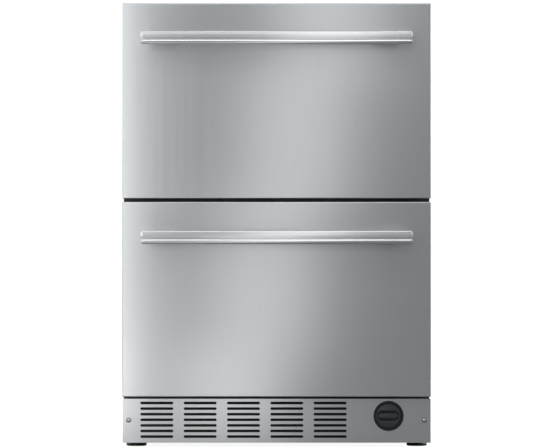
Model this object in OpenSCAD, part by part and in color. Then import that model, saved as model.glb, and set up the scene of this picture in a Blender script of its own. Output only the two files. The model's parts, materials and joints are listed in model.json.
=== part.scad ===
// Undercounter refrigerator with two drawers.
// Millimetres. +Z is up and the drawers open towards -Y. The origin lies on the floor, under the middle.

/* [Overall size] */
// Width across the drawer fronts
front_w = 600; // [580:1:640]
// Height from the floor to the top of the upper front
overall_h = 864; // [850:1:900]
// Depth of the cabinet behind the gaskets
cabinet_d = 535; // [525:1:600]
// How much narrower the cabinet is than the fronts
cabinet_inset = 2; // [0:1:6]

/* [Drawer fronts] */
// Thickness of a drawer front
front_t = 42; // [36:1:50]
// Height of the lower front's bottom edge above the floor
front_bottom_z = 99; // [97:1:110]
// Gap between the two fronts
front_gap = 7; // [4:0.5:10]
// Thickness of the steel skin
skin_t = 1; // [0.8:0.1:1.5]
// Inside radius of the skin's bent edges
skin_bend_r = 0.6; // [0.4:0.1:2]
// Thickness of the moulded inner panel
panel_t = 3; // [2:0.5:4]
// How far the inner panel's raised middle stands out
plateau_h = 18; // [14:1:24]
// Space between fronts and cabinet, filled by the gasket
seal_gap = 11; // [9:1:14]
// Width of the gasket
gasket_w = 14; // [12:1:16]

/* [Handles] */
// Distance of a bar's end from the front's edge
handle_in = 38; // [20:1:60]
// Height of the bar's section
handle_h = 26; // [24:1:32]
// Depth of the bar's section
handle_d = 18; // [16:1:22]
// How far the bar stands in front of the steel
handle_proud = 57; // [50:1:70]
// Distance from a front's top edge down to its handle
handle_drop = 56; // [40:1:80]
// Radius of the bead along the bar's lower edge
handle_bead_r = 5.7; // [5:0.1:6.5]
// Distance of a standoff's middle from the bar's end
handle_post_in = 47; // [38:1:80]
// Width of a standoff
handle_post_w = 58; // [40:1:64]
// Height of a standoff
handle_post_h = 14; // [10:1:18]

/* [Cabinet] */
// Sheet thickness of the cabinet, back panel and machine cover
shell_t = 1; // [0.8:0.1:1.5]
// Thickness of the plastic liners
liner_t = 1.5; // [1:0.1:2.5]
// Thickness of the face frame and of the liners' front flanges
face_t = 1.5; // [1:0.1:2.5]
// Width of a liner's front flange
liner_lip = 4; // [3:1:6]
// Insulation at each side
side_foam = 44.5; // [40:0.5:50]
// Insulation over the upper compartment
top_foam = 42.5; // [38:0.5:50]
// Insulation under the lower compartment
floor_foam = 33.5; // [30:0.5:38]
// Insulation at the back
back_foam = 53; // [48:0.5:58]
// Insulation between the machine space and the lower compartment's step
step_foam = 38.5; // [34:0.5:44]
// Height of the bar between the compartments
mullion_h = 50; // [44:1:60]
// Corner radius of the compartments
liner_r = 12; // [8:1:20]
// Seam between two slabs of the insulation, and between the panels of a bin
panel_seam = 0.1; // [0.05:0.05:0.3]
// Depth of the stiffening ribs pressed into the back panel
back_rib_h = 5; // [3:0.5:8]

/* [Machine space] */
// Height of the insulation's underside above the floor
machine_front_h = 94; // [93:0.5:96]
// Height of the machine space's ceiling at the back
machine_rear_h = 228; // [222:1:240]
// Depth of the high part of the machine space
machine_rear_d = 170; // [164:1:180]
// Height of the base pan's underside above the floor
base_z = 20; // [18:1:22]
// Sheet thickness of the base pan
base_t = 1.5; // [1:0.1:2.5]

/* [Drawer slides] */
// Length of a closed slide
slide_l = 400; // [380:1:405]
// Height of a slide's section
slide_h = 45; // [44:1:48]
// Width of a slide, from liner to bin
slide_t = 13; // [12.6:0.1:14]
// Sheet thickness of the slide members
slide_sheet = 1.2; // [1:0.1:1.4]
// Radius of the bearing balls
ball_r = 1.7; // [1.5:0.1:1.9]
// Number of balls in each row
balls = 6; // [4:1:8]
// Distance of the slides behind the cabinet's face
slide_setback = 12; // [9:1:20]

/* [Bins] */
// Wall thickness of a bin
bin_wall = 1.8; // [1.2:0.1:3]
// Floor thickness of a bin
bin_floor = 2; // [1.2:0.1:3]
// Radius of a bin's corner posts
bin_r = 7; // [5:0.5:8]
// Width of the rim turned outwards
bin_rim = 6; // [4:1:9]
// Gap under a bin
bin_lift = 8; // [6:1:12]
// Space over the upper bin
upper_bin_head = 53.5; // [38:0.5:84]
// Space behind the upper bin's rim
upper_bin_gap = 24.5; // [14:0.5:70]
// Space over the lower bin
lower_bin_head = 39.5; // [24:0.5:80]
// Space behind the lower bin's rim
lower_bin_gap = 8; // [4:0.5:50]
// Height of the upper slides' middle above the bin's underside
upper_slide_rise = 130; // [80:1:180]
// Height of the lower slides' middle above the bin's underside
lower_slide_rise = 190; // [172:1:220]

/* [Toe grille] */
// Sheet thickness of the grille
grille_t = 1.2; // [1:0.1:2]
// How far the grille lies behind the drawer fronts
grille_recess = 14; // [8:1:24]
// Gap between the grille and the lower front
grille_gap = 4.5; // [3:0.5:8]
// Height of the grille's lower edge above the floor
grille_z = 9; // [6:0.5:12]
// Depth of the grille's bent edges
grille_return = 11; // [8:1:16]
// Distance of the first column of slots from the grille's left end
slot_in = 34.6; // [30:0.1:45]
// Distance of the last column of slots from the black ring
slot_ring_gap = 52.6; // [40:0.1:70]
// Space between two columns of slots
slot_gap_x = 20.2; // [12:0.1:30]
// Height of one slot
slot_h = 5.2; // [4:0.1:7]
// Distance from one row of slots to the next
slot_pitch_z = 10.9; // [9:0.1:11]
// Number of slot columns
slot_columns = 5; // [3:1:5]
// Number of slot rows
slot_rows = 7; // [5:1:7]
// Height of the lowest row of slots above the floor
slot_first_z = 20.9; // [18:0.1:24]
// Distance of a grille screw from the grille's end
grille_screw_in = 12; // [8:1:16]
// Height of the grille screws above the floor
grille_screw_z = 53; // [45:1:60]

/* [Water filter] */
// Distance of the filter's axis from the grille's right end
filter_in = 82; // [78:1:88]
// Height of the filter's axis above the floor
filter_z = 61.2; // [58:0.1:62]
// Outer radius of the black ring
bezel_r = 29; // [27:0.1:30]
// Bore radius of the ring and the housing
filter_bore_r = 24.3; // [22:0.1:25]
// Running clearance of the cap and cartridge
filter_clear = 0.4; // [0.3:0.1:0.8]
// Length of the filter housing
filter_l = 232; // [200:1:250]

/* [Feet] */
// Diameter of a foot's pad
foot_d = 40; // [34:1:42]
// Height of a foot's pad
foot_pad_h = 9; // [7:1:12]
// Radius of a foot's threaded stem
foot_stem_r = 5; // [4:0.5:6]
// Distance of a foot's axis from the cabinet's side
foot_side_in = 24; // [22:1:37]
// Distance of the front feet behind the cabinet's face
foot_front_in = 27; // [24:1:60]
// Distance of the back feet from the cabinet's back
foot_rear_in = 30; // [26:1:60]

/* [Refrigeration] */
// Radius of the compressor's can
compressor_r = 72; // [64:1:74]
// Distance of the compressor's axis from the cabinet's right side
compressor_in = 178; // [168:1:193]
// Height of the drain pan on the compressor
drain_pan_h = 20; // [14:1:26]
// Space over the drain pan
drain_pan_gap = 18.5; // [10:0.5:26]
// Space between the cabinet's left side and the condenser coil
condenser_in = 43; // [36:1:56]
// Space between the condenser coil and the compressor, for the pipes and the drier
pipe_space = 93; // [90:1:110]
// Space over the condenser coil
condenser_gap = 24.5; // [16:0.5:36]
// Depth of the condenser's fins
condenser_d = 40; // [34:1:42]
// Number of condenser fins
condenser_fins = 22; // [12:1:24]
// Number of condenser tube rows
condenser_rows = 8; // [4:2:8]
// Space between the condenser fan's tips and the edge of the coil
fan_margin = 12; // [10:1:20]
// Space between the evaporator coil and the liner's sides
evaporator_in = 62; // [50:1:90]
// Space between the evaporator coil and its fan
evaporator_fan_gap = 46.5; // [30:0.5:56]
// Number of evaporator fins
evaporator_fins = 24; // [12:1:28]
// Number of evaporator tube rows
evaporator_rows = 6; // [4:2:6]
// Space behind the evaporator cover
evaporator_space = 56; // [52:1:60]
// Tip radius of the evaporator fan
small_fan_r = 48; // [40:1:50]
// Outer radius of the refrigerant pipes
pipe_r = 4; // [3:0.5:4.5]

/* [Hidden] */
$fn = 48;

body_w = front_w - cabinet_inset;
body_half = body_w / 2;
body_top = overall_h - 1;
total_d = handle_proud + front_t + seal_gap + cabinet_d + back_rib_h;
y_handle = -total_d / 2;
y_front = y_handle + handle_proud;
y_panel = y_front + front_t;
y_face = y_panel + seal_gap;
y_back = y_face + cabinet_d;
y_foam = y_face + face_t;
y_foam_back = y_back - shell_t;
y_liner_back = y_foam_back - back_foam - liner_t;
y_machine = y_back - machine_rear_d;
y_step = y_machine - step_foam - liner_t;
y_grille = y_front + grille_recess;
y_grille_back = y_grille + grille_t;
y_plateau = y_panel + plateau_h;
y_slide = y_face + slide_setback;

in_half = body_half - shell_t - side_foam - liner_t;
front_h = (overall_h - front_bottom_z - front_gap) / 2;
front_z = [front_bottom_z, front_bottom_z + front_h + front_gap];
mullion_z = front_z[1] - front_gap / 2;
foam_top = body_top - shell_t;
room_z0 = [machine_front_h + floor_foam + liner_t, mullion_z + mullion_h / 2];
room_z1 = [mullion_z - mullion_h / 2, foam_top - top_foam - liner_t];
step_z = machine_rear_h + step_foam + liner_t;

bin_half = in_half - slide_t;
bin_z = [room_z0[0] + bin_lift, room_z0[1] + bin_lift];
bin_h = [room_z1[0] - bin_z[0] - lower_bin_head, room_z1[1] - bin_z[1] - upper_bin_head];
slide_z = [bin_z[0] + lower_slide_rise, bin_z[1] + upper_slide_rise];
handle_z = [front_z[0] + front_h - handle_drop - handle_h, front_z[1] + front_h - handle_drop - handle_h];
handle_l = front_w - 2 * handle_in;
handle_post_pitch = handle_l - 2 * handle_post_in;
handle_screw_r = 2.5;
handle_screw_z = handle_h * 0.5;

grille_half = front_w / 2;
grille_screw_x = grille_half - grille_screw_in;
filter_x = grille_half - filter_in;
foot_x = body_half - foot_side_in;
frame_hole_x = in_half + liner_lip;
grille_top = front_bottom_z - grille_gap;
slot_first_x = -grille_half + slot_in;
slot_field = filter_x - bezel_r - slot_ring_gap - slot_first_x;
slot_w = (slot_field - (slot_columns - 1) * slot_gap_x) / slot_columns;
slot_pitch_x = slot_w + slot_gap_x;
seal_offset = 6;
plateau_margin = 14;
base_floor = base_z + base_t;
rear_half = body_half - shell_t;
fit = 0.05;
axle_r = 3;
cover_screw_r = 2;
cover_screw_l = 8;

// machine space: the compressor and its drain pan at the right, the condenser and its fan at the left
mount_h = 18;
compressor_front_gap = 8;
compressor_x = rear_half - compressor_in;
compressor_pos = [compressor_x, y_machine + compressor_front_gap + compressor_r, base_floor + mount_h];
compressor_h = machine_rear_h - drain_pan_gap - drain_pan_h - compressor_pos[2];
condenser_lift = 10;
condenser_front_gap = 10;
tube_reach = 8;
condenser_left = -rear_half + condenser_in;
condenser_w = compressor_x - compressor_r - pipe_space - condenser_left;
condenser_h = machine_rear_h - condenser_gap - condenser_lift - base_floor;
condenser_pos = [
    condenser_left + condenser_w / 2, y_machine + condenser_front_gap, base_floor + condenser_lift
];
fan_r = min(condenser_w, condenser_h) / 2 - fan_margin;
fan_depth = 22;
fan_behind_coil = 36;
fan_rise = 2;
fan_pos = condenser_pos + [0, condenser_d + fan_behind_coil, condenser_h / 2 + fan_rise];
port_in = 32;
valve_from_back = 46;
valve_pos = [rear_half - port_in, y_back - valve_from_back, filter_z];
gland_pos = [-rear_half + port_in, y_back, filter_z];

// evaporator and its fan, behind the upper bin
evaporator_w = 2 * (in_half - evaporator_in);
evaporator_y = y_liner_back - evaporator_space;
evaporator_front_gap = 12;
evaporator_lift = 26;
evaporator_z = room_z0[1] + evaporator_lift;
small_fan_depth = 14;
small_fan_from_back = 30;
small_fan_top_gap = 14;
small_fan_pos = [0, y_liner_back - small_fan_from_back, room_z1[1] - small_fan_r - small_fan_top_gap];
evaporator_h = small_fan_pos[2] - small_fan_r - evaporator_fan_gap - evaporator_z;

bin_d = [y_step - y_plateau - bin_rim - lower_bin_gap, evaporator_y - y_plateau - bin_rim - upper_bin_gap];

// ---- shared shapes ----

// A profile drawn in Y and Z, pulled along X about the middle
module along_x(length) {
    rotate([90, 0, 90]) linear_extrude(length, center = true) children();
}

// A profile drawn in X and Z, pulled along Y from y0 to y1
module along_y(y0, y1) {
    translate([0, y1, 0]) rotate([90, 0, 0]) linear_extrude(y1 - y0) children();
}

// A profile drawn in X and Y, pulled up from z0 to z1
module along_z(z0, z1) {
    translate([0, 0, z0]) linear_extrude(z1 - z0) children();
}

// Rectangle between two corners
module span(x0, y0, x1, y1) {
    translate([x0, y0]) square([x1 - x0, y1 - y0]);
}

// Rectangle between two corners with four round corners
module round_span(x0, y0, x1, y1, r) {
    span(x0 + r, y0, x1 - r, y1);
    span(x0, y0 + r, x1, y1 - r);
    for (x = [x0 + r, x1 - r], y = [y0 + r, y1 - r]) translate([x, y]) circle(r);
}

// Rectangle from y = 0 to depth whose two corners at y = 0 are round
module nosed_span(half_w, depth, r) {
    span(-half_w + r, 0, half_w - r, depth);
    span(-half_w, r, half_w, depth);
    for (x = [-half_w + r, half_w - r]) translate([x, r]) circle(r);
}

// Slot with round ends, its middle at the origin
module round_slot(w, h) {
    square([w - h, h], center = true);
    for (x = [-1, 1]) translate([x * (w - h) / 2, 0]) circle(h / 2);
}

// Cylinder along Y from y0 to y1 at x, z
module rod_y(x, z, r, y0, y1) {
    translate([x, y0, z]) rotate([-90, 0, 0]) cylinder(h = y1 - y0, r = r);
}

// Cylinder along X from x0 to x1 at y, z
module rod_x(x0, x1, y, z, r) {
    translate([x0, y, z]) rotate([0, 90, 0]) cylinder(h = x1 - x0, r = r);
}

// Direction from a to b, one unit long
function toward(a, b) = (b - a) / norm(b - a);

// Round pipe through points whose runs meet at right angles, with bends of one radius
module pipe(points, r, bend) {
    last = len(points) - 1;
    for (i = [0 : last - 1]) {
        d = toward(points[i], points[i + 1]);
        start = points[i] + (i > 0 ? bend : 0) * d;
        run = norm(points[i + 1] - points[i]) - (i > 0 ? bend : 0) - (i < last - 1 ? bend : 0);
        translate(start) rotate([0, acos(d[2]), atan2(d[1], d[0])]) cylinder(h = run, r = r, $fn = 32);
    }
    for (i = [1 : 1 : last - 1]) {
        a = toward(points[i - 1], points[i]);
        b = toward(points[i], points[i + 1]);
        c = cross(-b, a);
        p = points[i] - bend * a + bend * b;
        multmatrix([[-b[0], a[0], c[0], p[0]], [-b[1], a[1], c[1], p[1]], [-b[2], a[2], c[2], p[2]]])
            rotate_extrude(angle = 90, $fn = 48) translate([bend, 0]) circle(r, $fn = 32);
    }
}

// Space of one compartment, grown on all sides but the front
module room(i, grow, y0) {
    along_y(y0, (i == 1 ? y_liner_back : y_step) + grow)
        round_span(-in_half - grow, room_z0[i] - grow, in_half + grow, room_z1[i] + grow, liner_r + grow);
    if (i == 0)
        along_y(y0, y_liner_back + grow)
            round_span(-in_half - grow, step_z - grow, in_half + grow, room_z1[0] + grow, liner_r + grow);
}

// Frame around one compartment's opening, between two offsets
module opening_ring(i, from, to) {
    difference() {
        round_span(-in_half - to, room_z0[i] - to, in_half + to, room_z1[i] + to, liner_r + to);
        round_span(-in_half - from, room_z0[i] - from, in_half + from, room_z1[i] + from, liner_r + from);
    }
}

// ---- cabinet ----

module cabinet_shell() {
    rail_bottom = machine_front_h;
    color("#3d4043") difference() {
        union() {
            along_y(y_face, y_back) difference() {
                span(-body_half, base_z, body_half, body_top);
                span(-rear_half, base_z - 1, rear_half, foam_top);
            }
            along_y(y_face, y_foam) difference() {
                span(-body_half, rail_bottom, body_half, body_top);
                span(-frame_hole_x, room_z0[0] - liner_lip, frame_hole_x, room_z1[1] + liner_lip);
            }
        }
        for (z = [machine_rear_h + 30, foam_top - 30], s = [-1, 1])
            rod_x(s * body_half - 3, s * body_half + 3, y_back - 20, z, cover_screw_r);
    }
}

module cabinet_insulation() {
    color("#e9d9a8") difference() {
        along_x(2 * rear_half) polygon([
            [y_foam, machine_front_h], [y_machine, machine_front_h], [y_machine, machine_rear_h],
            [y_foam_back, machine_rear_h], [y_foam_back, foam_top], [y_foam, foam_top]
        ]);
        room(0, liner_t, y_face);
        room(1, liner_t, y_face);
        mullion_shape();
        for (x = cover_screw_x, z = cover_screw_z) rod_y(x, z, cover_screw_r, y_back - cover_screw_l, y_back);
        foam_seams();
    }
}

// Seams that part the insulation into side slabs, back, floor, step, bar and top
module foam_seams() {
    z_step = step_z - liner_t;
    y_rear = y_liner_back + liner_t;
    x_side = in_half + liner_t;
    for (s = [0, 1]) mirror([s, 0, 0])
        along_z(machine_front_h - 1, foam_top + 1) span(x_side, y_face, x_side + panel_seam, y_back);
    along_z(z_step, foam_top + 1) span(-x_side, y_rear, x_side, y_rear + panel_seam);
    along_z(z_step - panel_seam, z_step) span(-x_side, y_step + liner_t, x_side, y_back);
    along_z(machine_front_h - 1, z_step) span(-x_side, y_step + liner_t, x_side, y_step + liner_t + panel_seam);
}

module upper_liner() {
    color("#f2f3f1") difference() {
        union() {
            room(1, liner_t, y_face);
            along_y(y_face, y_foam) intersection() {
                span(-frame_hole_x, room_z0[1] - liner_t, frame_hole_x, room_z1[1] + liner_lip);
                opening_ring(1, 0, liner_r + liner_lip);
            }
        }
        room(1, 0, y_face - 1);
    }
}

module lower_liner() {
    color("#f2f3f1") difference() {
        union() {
            room(0, liner_t, y_face);
            along_y(y_face, y_foam) intersection() {
                span(-frame_hole_x, room_z0[0] - liner_lip, frame_hole_x, room_z1[0] + liner_t);
                opening_ring(0, 0, liner_r + liner_lip);
            }
        }
        room(0, 0, y_face - 1);
    }
}

// Cover on the nose between the compartments: a face and two legs that reach into the foam
module mullion_shape() {
    leg = 16;
    z0 = room_z1[0] + liner_t;
    z1 = room_z0[1] - liner_t;
    along_y(y_face, y_foam) difference() {
        span(-frame_hole_x, z0, frame_hole_x, z1);
        translate([0, (z0 + z1) / 2]) round_slot(2 * in_half - 80, 5);
    }
    for (z = [z0 + 4, z1 - 4 - face_t])
        along_y(y_face + face_t / 2, y_face + leg) span(-in_half, z, in_half, z + face_t);
}

module mullion_bar() {
    color("#2e3134") mullion_shape();
}

// Outline of one pressed rib, standing out of the plane y = 0
module rib_outline(half_w, h) {
    polygon([[-half_w - h, 0], [-half_w, h], [half_w, h], [half_w + h, 0]]);
}

module back_panel() {
    rib_half = 16;
    rib_pitch = 130;
    rib_end = 45;
    z0 = machine_rear_h;
    ribs = [for (k = [-1.5 : 1 : 1.5]) k * rib_pitch];
    color("#8d9194") difference() {
        union() {
            along_y(y_foam_back, y_back) span(-rear_half, z0, rear_half, foam_top);
            for (x = ribs) translate([x, y_back, 0])
                along_z(z0 + rib_end, foam_top - rib_end) rib_outline(rib_half, back_rib_h);
        }
        for (x = ribs) translate([x, y_foam_back, 0])
            along_z(z0 + rib_end + shell_t, foam_top - rib_end - shell_t)
                rib_outline(rib_half - shell_t, back_rib_h);
        cover_holes(z0 + 10);
        cover_holes(foam_top - 10);
    }
}

// Row of screw holes across the cabinet's back at one height
module cover_holes(z) {
    for (x = cover_screw_x) rod_y(x, z, cover_screw_r, y_foam_back - 1, y_back + 1);
}
cover_screw_x = [for (k = [-1.5 : 1 : 1.5]) k * (2 * rear_half - 30) / 3];
cover_screw_z = [base_z + 10, machine_rear_h - 10, machine_rear_h + 10, foam_top - 10];

// One hooded louvre, its lower lip at the origin
module louvre(w, h, proud) {
    along_x(w) polygon([[0, 0], [proud, -h * 0.35], [proud, -h * 0.35 + shell_t], [shell_t, h], [0, h]]);
}

module machine_cover() {
    z0 = base_z;
    z1 = machine_rear_h;
    louvre_w = 150;
    louvre_pitch = 18;
    louvre_in = 103;
    louvre_x = [-rear_half + louvre_in + louvre_w / 2, rear_half - louvre_in - louvre_w / 2];
    rows = floor((z1 - z0 - 70) / louvre_pitch);
    color("#8d9194") {
        difference() {
            along_y(y_foam_back, y_back) difference() {
                span(-rear_half, z0, rear_half, z1);
                for (x = louvre_x, k = [0 : rows - 1])
                    translate([x, z0 + 50 + k * louvre_pitch]) round_slot(louvre_w, 7);
                translate([valve_pos[0], valve_pos[2]]) circle(valve_r + 6);
                translate([gland_pos[0], gland_pos[2]]) circle(gland_neck_r);
            }
            cover_holes(z0 + 10);
            cover_holes(z1 - 10);
        }
        for (x = louvre_x, k = [0 : rows - 1])
            translate([x, y_back, z0 + 54 + k * louvre_pitch]) louvre(louvre_w, 5, back_rib_h - 1);
    }
}
gland_neck_r = 11;

module pan_head_screw(r, l) {
    // Axis along +Y: the head lies at y > 0 and the shank at y < 0
    difference() {
        rotate([-90, 0, 0]) rotate_extrude() {
            span(0, -l, r, 0.1);
            intersection() {
                translate([0, -r]) circle(2.6 * r);
                span(0, 0, 2 * r, 2 * r);
            }
        }
        translate([0, 1.5 * r, 0]) cube([3 * r, r, 0.5 * r], center = true);
        translate([0, 1.5 * r, 0]) cube([0.5 * r, r, 3 * r], center = true);
    }
}

module cover_screws() {
    color("#c9cccd") for (x = cover_screw_x, z = cover_screw_z)
        translate([x, y_back, z]) pan_head_screw(cover_screw_r, cover_screw_l);
}

module base_pan() {
    flange = 22;
    sleeve_h = 18;
    sleeve_r = foot_stem_r + 4;
    ear_y0 = y_grille_back;
    ear_half = 8;
    pad_r = 11;
    bead_half = 8;
    bead_h = 3;
    bead_x0 = -rear_half + 98;
    bead_pitch = (compressor_x - bead_x0) / 4;
    color("#6f7376") difference() {
        union() {
            along_z(base_z, base_floor) span(-rear_half, y_face, rear_half, y_foam_back);
            for (s = [0, 1]) mirror([s, 0, 0])
                along_z(base_z, base_z + flange) span(rear_half - base_t, y_face, rear_half, y_foam_back);
            along_y(y_foam_back - base_t, y_foam_back) span(-rear_half, base_z, rear_half, base_z + flange);
            // two ears that carry the toe grille
            for (s = [-1, 1]) translate([s * grille_screw_x, 0, 0]) {
                along_y(ear_y0, ear_y0 + base_t)
                    round_span(-ear_half, base_z, ear_half, grille_screw_z + ear_half, 3);
                along_z(base_z, base_floor) span(-ear_half, ear_y0, ear_half, y_face + 1);
            }
            for (p = foot_places) translate([p[0], p[1], base_z]) cylinder(h = sleeve_h, r = sleeve_r);
            // raised pads under the compressor and long beads across the floor
            for (p = mount_places) translate([p[0], p[1], base_z])
                cylinder(h = compressor_pos[2] - mount_rubber_h - base_z, r = pad_r);
            for (k = [0 : 3]) translate([bead_x0 + k * bead_pitch, 0]) along_z(base_floor, base_floor + bead_h)
                round_span(-bead_half, y_face + 60, bead_half, y_machine - 20, bead_half - 0.5);
        }
        for (p = foot_places)
            translate([p[0], p[1], base_z - 1]) cylinder(h = sleeve_h + 2, r = foot_stem_r + fit);
        for (s = [-1, 1])
            rod_y(s * grille_screw_x, grille_screw_z, cover_screw_r, ear_y0 - 1, ear_y0 + base_t + 1);
        for (x = cover_screw_x)
            rod_y(x, cover_screw_z[0], cover_screw_r, y_foam_back - base_t - 1, y_foam_back + 1);
    }
}
mount_dx = compressor_r - 10;
mount_dy = compressor_r - 20;
mount_rubber_h = 12;
mount_places = [
    for (sx = [-1, 1], sy = [-1, 1]) [compressor_pos[0] + sx * mount_dx, compressor_pos[1] + sy * mount_dy]
];
foot_places = [
    for (y = [y_face + foot_front_in, y_back - foot_rear_in], s = [-1, 1]) [s * foot_x, y]
];

// ---- toe grille ----

module toe_grille() {
    color("#b9bcbd") difference() {
        union() {
            along_x(2 * grille_half) {
                span(y_grille, grille_z, y_grille_back, grille_top);
                span(y_grille, grille_z, y_grille + grille_return, grille_z + grille_t);
                span(y_grille, grille_top - grille_t, y_grille + grille_return, grille_top);
            }
            for (s = [-1, 1]) along_y(y_grille, y_face)
                translate([s * (grille_half - grille_t / 2), (grille_z + grille_top) / 2])
                    square([grille_t, grille_top - grille_z], center = true);
        }
        along_y(y_grille - 1, y_grille_back + 1) {
            for (i = [0 : slot_columns - 1], j = [0 : slot_rows - 1])
                translate([slot_first_x + slot_w / 2 + i * slot_pitch_x, slot_first_z + j * slot_pitch_z])
                    round_slot(slot_w, slot_h);
            translate([filter_x, filter_z]) circle(bezel_r + bezel_clear);
            for (s = [-1, 1]) translate([s * grille_screw_x, grille_screw_z]) circle(cover_screw_r);
        }
    }
}

module grille_screws() {
    color("#8a8d8f") for (s = [-1, 1])
        translate([s * grille_screw_x, y_grille, grille_screw_z]) rotate([0, 0, 180])
            pan_head_screw(cover_screw_r, cover_screw_l);
}

// ---- water filter ----

bezel_clear = 0.3;
head_t = 12;
port_from_back = 26;
cap_proud = 1;
cap_t = 15;

module filter_housing() {
    y1 = y_grille_back + filter_l;
    collar = 2;
    saddle_half = 16;
    saddle_l = 20;
    color("#1c1e20") difference() {
        union() {
            rod_y(filter_x, filter_z, bezel_r, y_grille - 2, y1);
            rod_y(filter_x, filter_z, bezel_r + collar, y_grille_back, y_grille_back + 4 * collar);
            rod_x(filter_x, port_x, y1 - port_from_back, filter_z, pipe_r + 3);
            // two saddles on the base pan
            for (y = [y_face + saddle_l, y1 - 3 * saddle_l]) along_y(y, y + saddle_l)
                span(filter_x - saddle_half, base_floor, filter_x + saddle_half, filter_z);
        }
        rod_y(filter_x, filter_z, filter_bore_r, y_grille - 3, y1 - head_t);
        rod_x(filter_x + filter_bore_r - 2, port_x + 1, y1 - port_from_back, filter_z, pipe_r);
        rod_y(filter_x, filter_z, pipe_r + 1, y1 - head_t - 1, y1 + 1);
    }
}
port_x = filter_x + bezel_r + 3;

module filter_cartridge() {
    r = filter_bore_r - filter_clear;
    y0 = y_grille - cap_proud + cap_t;
    y1 = y_grille_back + filter_l - head_t - 2;
    nose_r = 9;
    shoulder = 30;
    neck = 12;
    ring_r = 1.2;
    color("#f4f5f5") translate([filter_x, 0, filter_z]) difference() {
        union() {
            rod_y(0, 0, r, y0, y1 - shoulder);
            rod_y(0, 0, r - 5, y1 - shoulder - 1, y1 - neck);
            rod_y(0, 0, nose_r, y1 - neck - 1, y1);
            // two sealing rings on the nose
            for (k = [0 : 1]) translate([0, y1 - 9 + 5 * k, 0]) rotate([-90, 0, 0])
                rotate_extrude() translate([nose_r, 0]) circle(ring_r, $fn = 24);
        }
        rod_y(0, 0, cap_stub_r + fit, y0 - 1, y0 + cap_stub_l + 1);
        rod_y(0, 0, pipe_r, y1 - 20, y1 + 1);
        // three grooves round the grip end
        for (k = [0 : 2]) translate([0, y0 + 20 + 8 * k, 0]) rotate([-90, 0, 0])
            rotate_extrude() translate([r + ring_r / 2, 0]) circle(ring_r, $fn = 24);
    }
}
cap_stub_r = 8;
cap_stub_l = 11;

// Turning cap with a grip bar across its recess
module filter_cap() {
    r = filter_bore_r - filter_clear;
    y0 = y_grille - cap_proud;
    y1 = y0 + cap_t;
    well = 9;
    well_w = 0.86 * 2 * r;
    well_h = 0.42 * 2 * r;
    color("#2b2f32") translate([filter_x, 0, filter_z]) {
        difference() {
            union() {
                rod_y(0, 0, r, y0, y1);
                rod_y(0, 0, cap_stub_r, y1 - 1, y1 + cap_stub_l);
            }
            along_y(y0 - 1, y0 + well) difference() {
                union() {
                    round_slot(well_w, well_h);
                    square([0.6 * 2 * r, well_h], center = true);
                }
                round_slot(0.8 * 2 * r, 0.2 * 2 * r);
            }
            translate([0, y0, 0]) rotate([-90, 0, 0]) rotate_extrude() polygon([
                [r - 1, -0.1], [r + 1, -0.1], [r + 1, 1]
            ]);
        }
    }
}

inlet_r = 13.2;
valve_r = 17;
valve_half = 18;
socket_l = 14;

module inlet_valve() {
    p = valve_pos;
    coil_r = 13;
    coil_h = 26;
    color("#d9dbd8") difference() {
        union() {
            rod_y(p[0], p[2], valve_r, p[1] - valve_half, p[1] + valve_half);
            rod_y(p[0], p[2], inlet_r, p[1] + valve_half - 1, y_back + back_rib_h - 1);
            rod_y(p[0], p[2], pipe_r + 3, p[1] - valve_half - socket_l, p[1] - valve_half + 1);
            translate([p[0], p[1], p[2] + valve_r - 1]) cylinder(h = coil_h, r = coil_r);
            // bracket down to the base pan
            along_z(base_floor, p[2]) span(p[0] - 12, p[1] - 14, p[0] + 12, p[1] - 2);
        }
        rod_y(p[0], p[2], inlet_r - 3.7, p[1] + valve_half + 2, y_back + back_rib_h);
        rod_y(p[0], p[2], pipe_r, p[1] - valve_half - socket_l - 1, p[1] - 10);
    }
}

module water_line() {
    p = valve_pos;
    port_y = y_grille_back + filter_l - port_from_back;
    color("#e6e8e8") pipe([
        [p[0], p[1] - socket_l, p[2]], [p[0], port_y, p[2]], [port_x - 6, port_y, p[2]]
    ], pipe_r - fit, 14);
}

module cord_gland() {
    p = gland_pos;
    color("#1a1b1c") translate([p[0], 0, p[2]]) difference() {
        union() {
            rod_y(0, 0, gland_neck_r - fit, y_foam_back - 10, y_back + 1);
            rod_y(0, 0, gland_neck_r + 3, y_back, y_back + back_rib_h - 1);
            rod_y(0, 0, gland_neck_r + 3, y_foam_back - 11, y_foam_back);
        }
        rod_y(0, 0, 4.2, y_foam_back - 12, y_back + back_rib_h);
    }
}

// ---- machine space ----

module compressor() {
    p = compressor_pos;
    seam_z = compressor_h * seam_share;
    ear = mount_neck_r + 5;
    color("#17181a") translate(p) {
        rotate_extrude($fn = 96) {
            intersection() {
                round_span(-compressor_r, 0, compressor_r, compressor_h, compressor_r * 0.36);
                span(0, 0, compressor_r, compressor_h);
            }
            span(compressor_r - 6, seam_z, compressor_r + 4, seam_z + 4);
        }
        // mounting plate with four ears
        difference() {
            along_z(-3, 0.5) round_span(-mount_dx - ear, -mount_dy - ear, mount_dx + ear, mount_dy + ear, ear);
            for (q = mount_places) translate([q[0] - p[0], q[1] - p[1], -4]) cylinder(h = 6, r = mount_neck_r);
        }
        for (s = [-1, 1]) translate([-compressor_r + stub_l / 2, s * stub_dy, seam_z + stub_rise])
            rotate([0, -90, 0]) cylinder(h = stub_l, r = pipe_r);
    }
}
mount_neck_r = 7;
seam_share = 0.55;
stub_rise = 18;
stub_dy = 20;
stub_l = 24;

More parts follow.
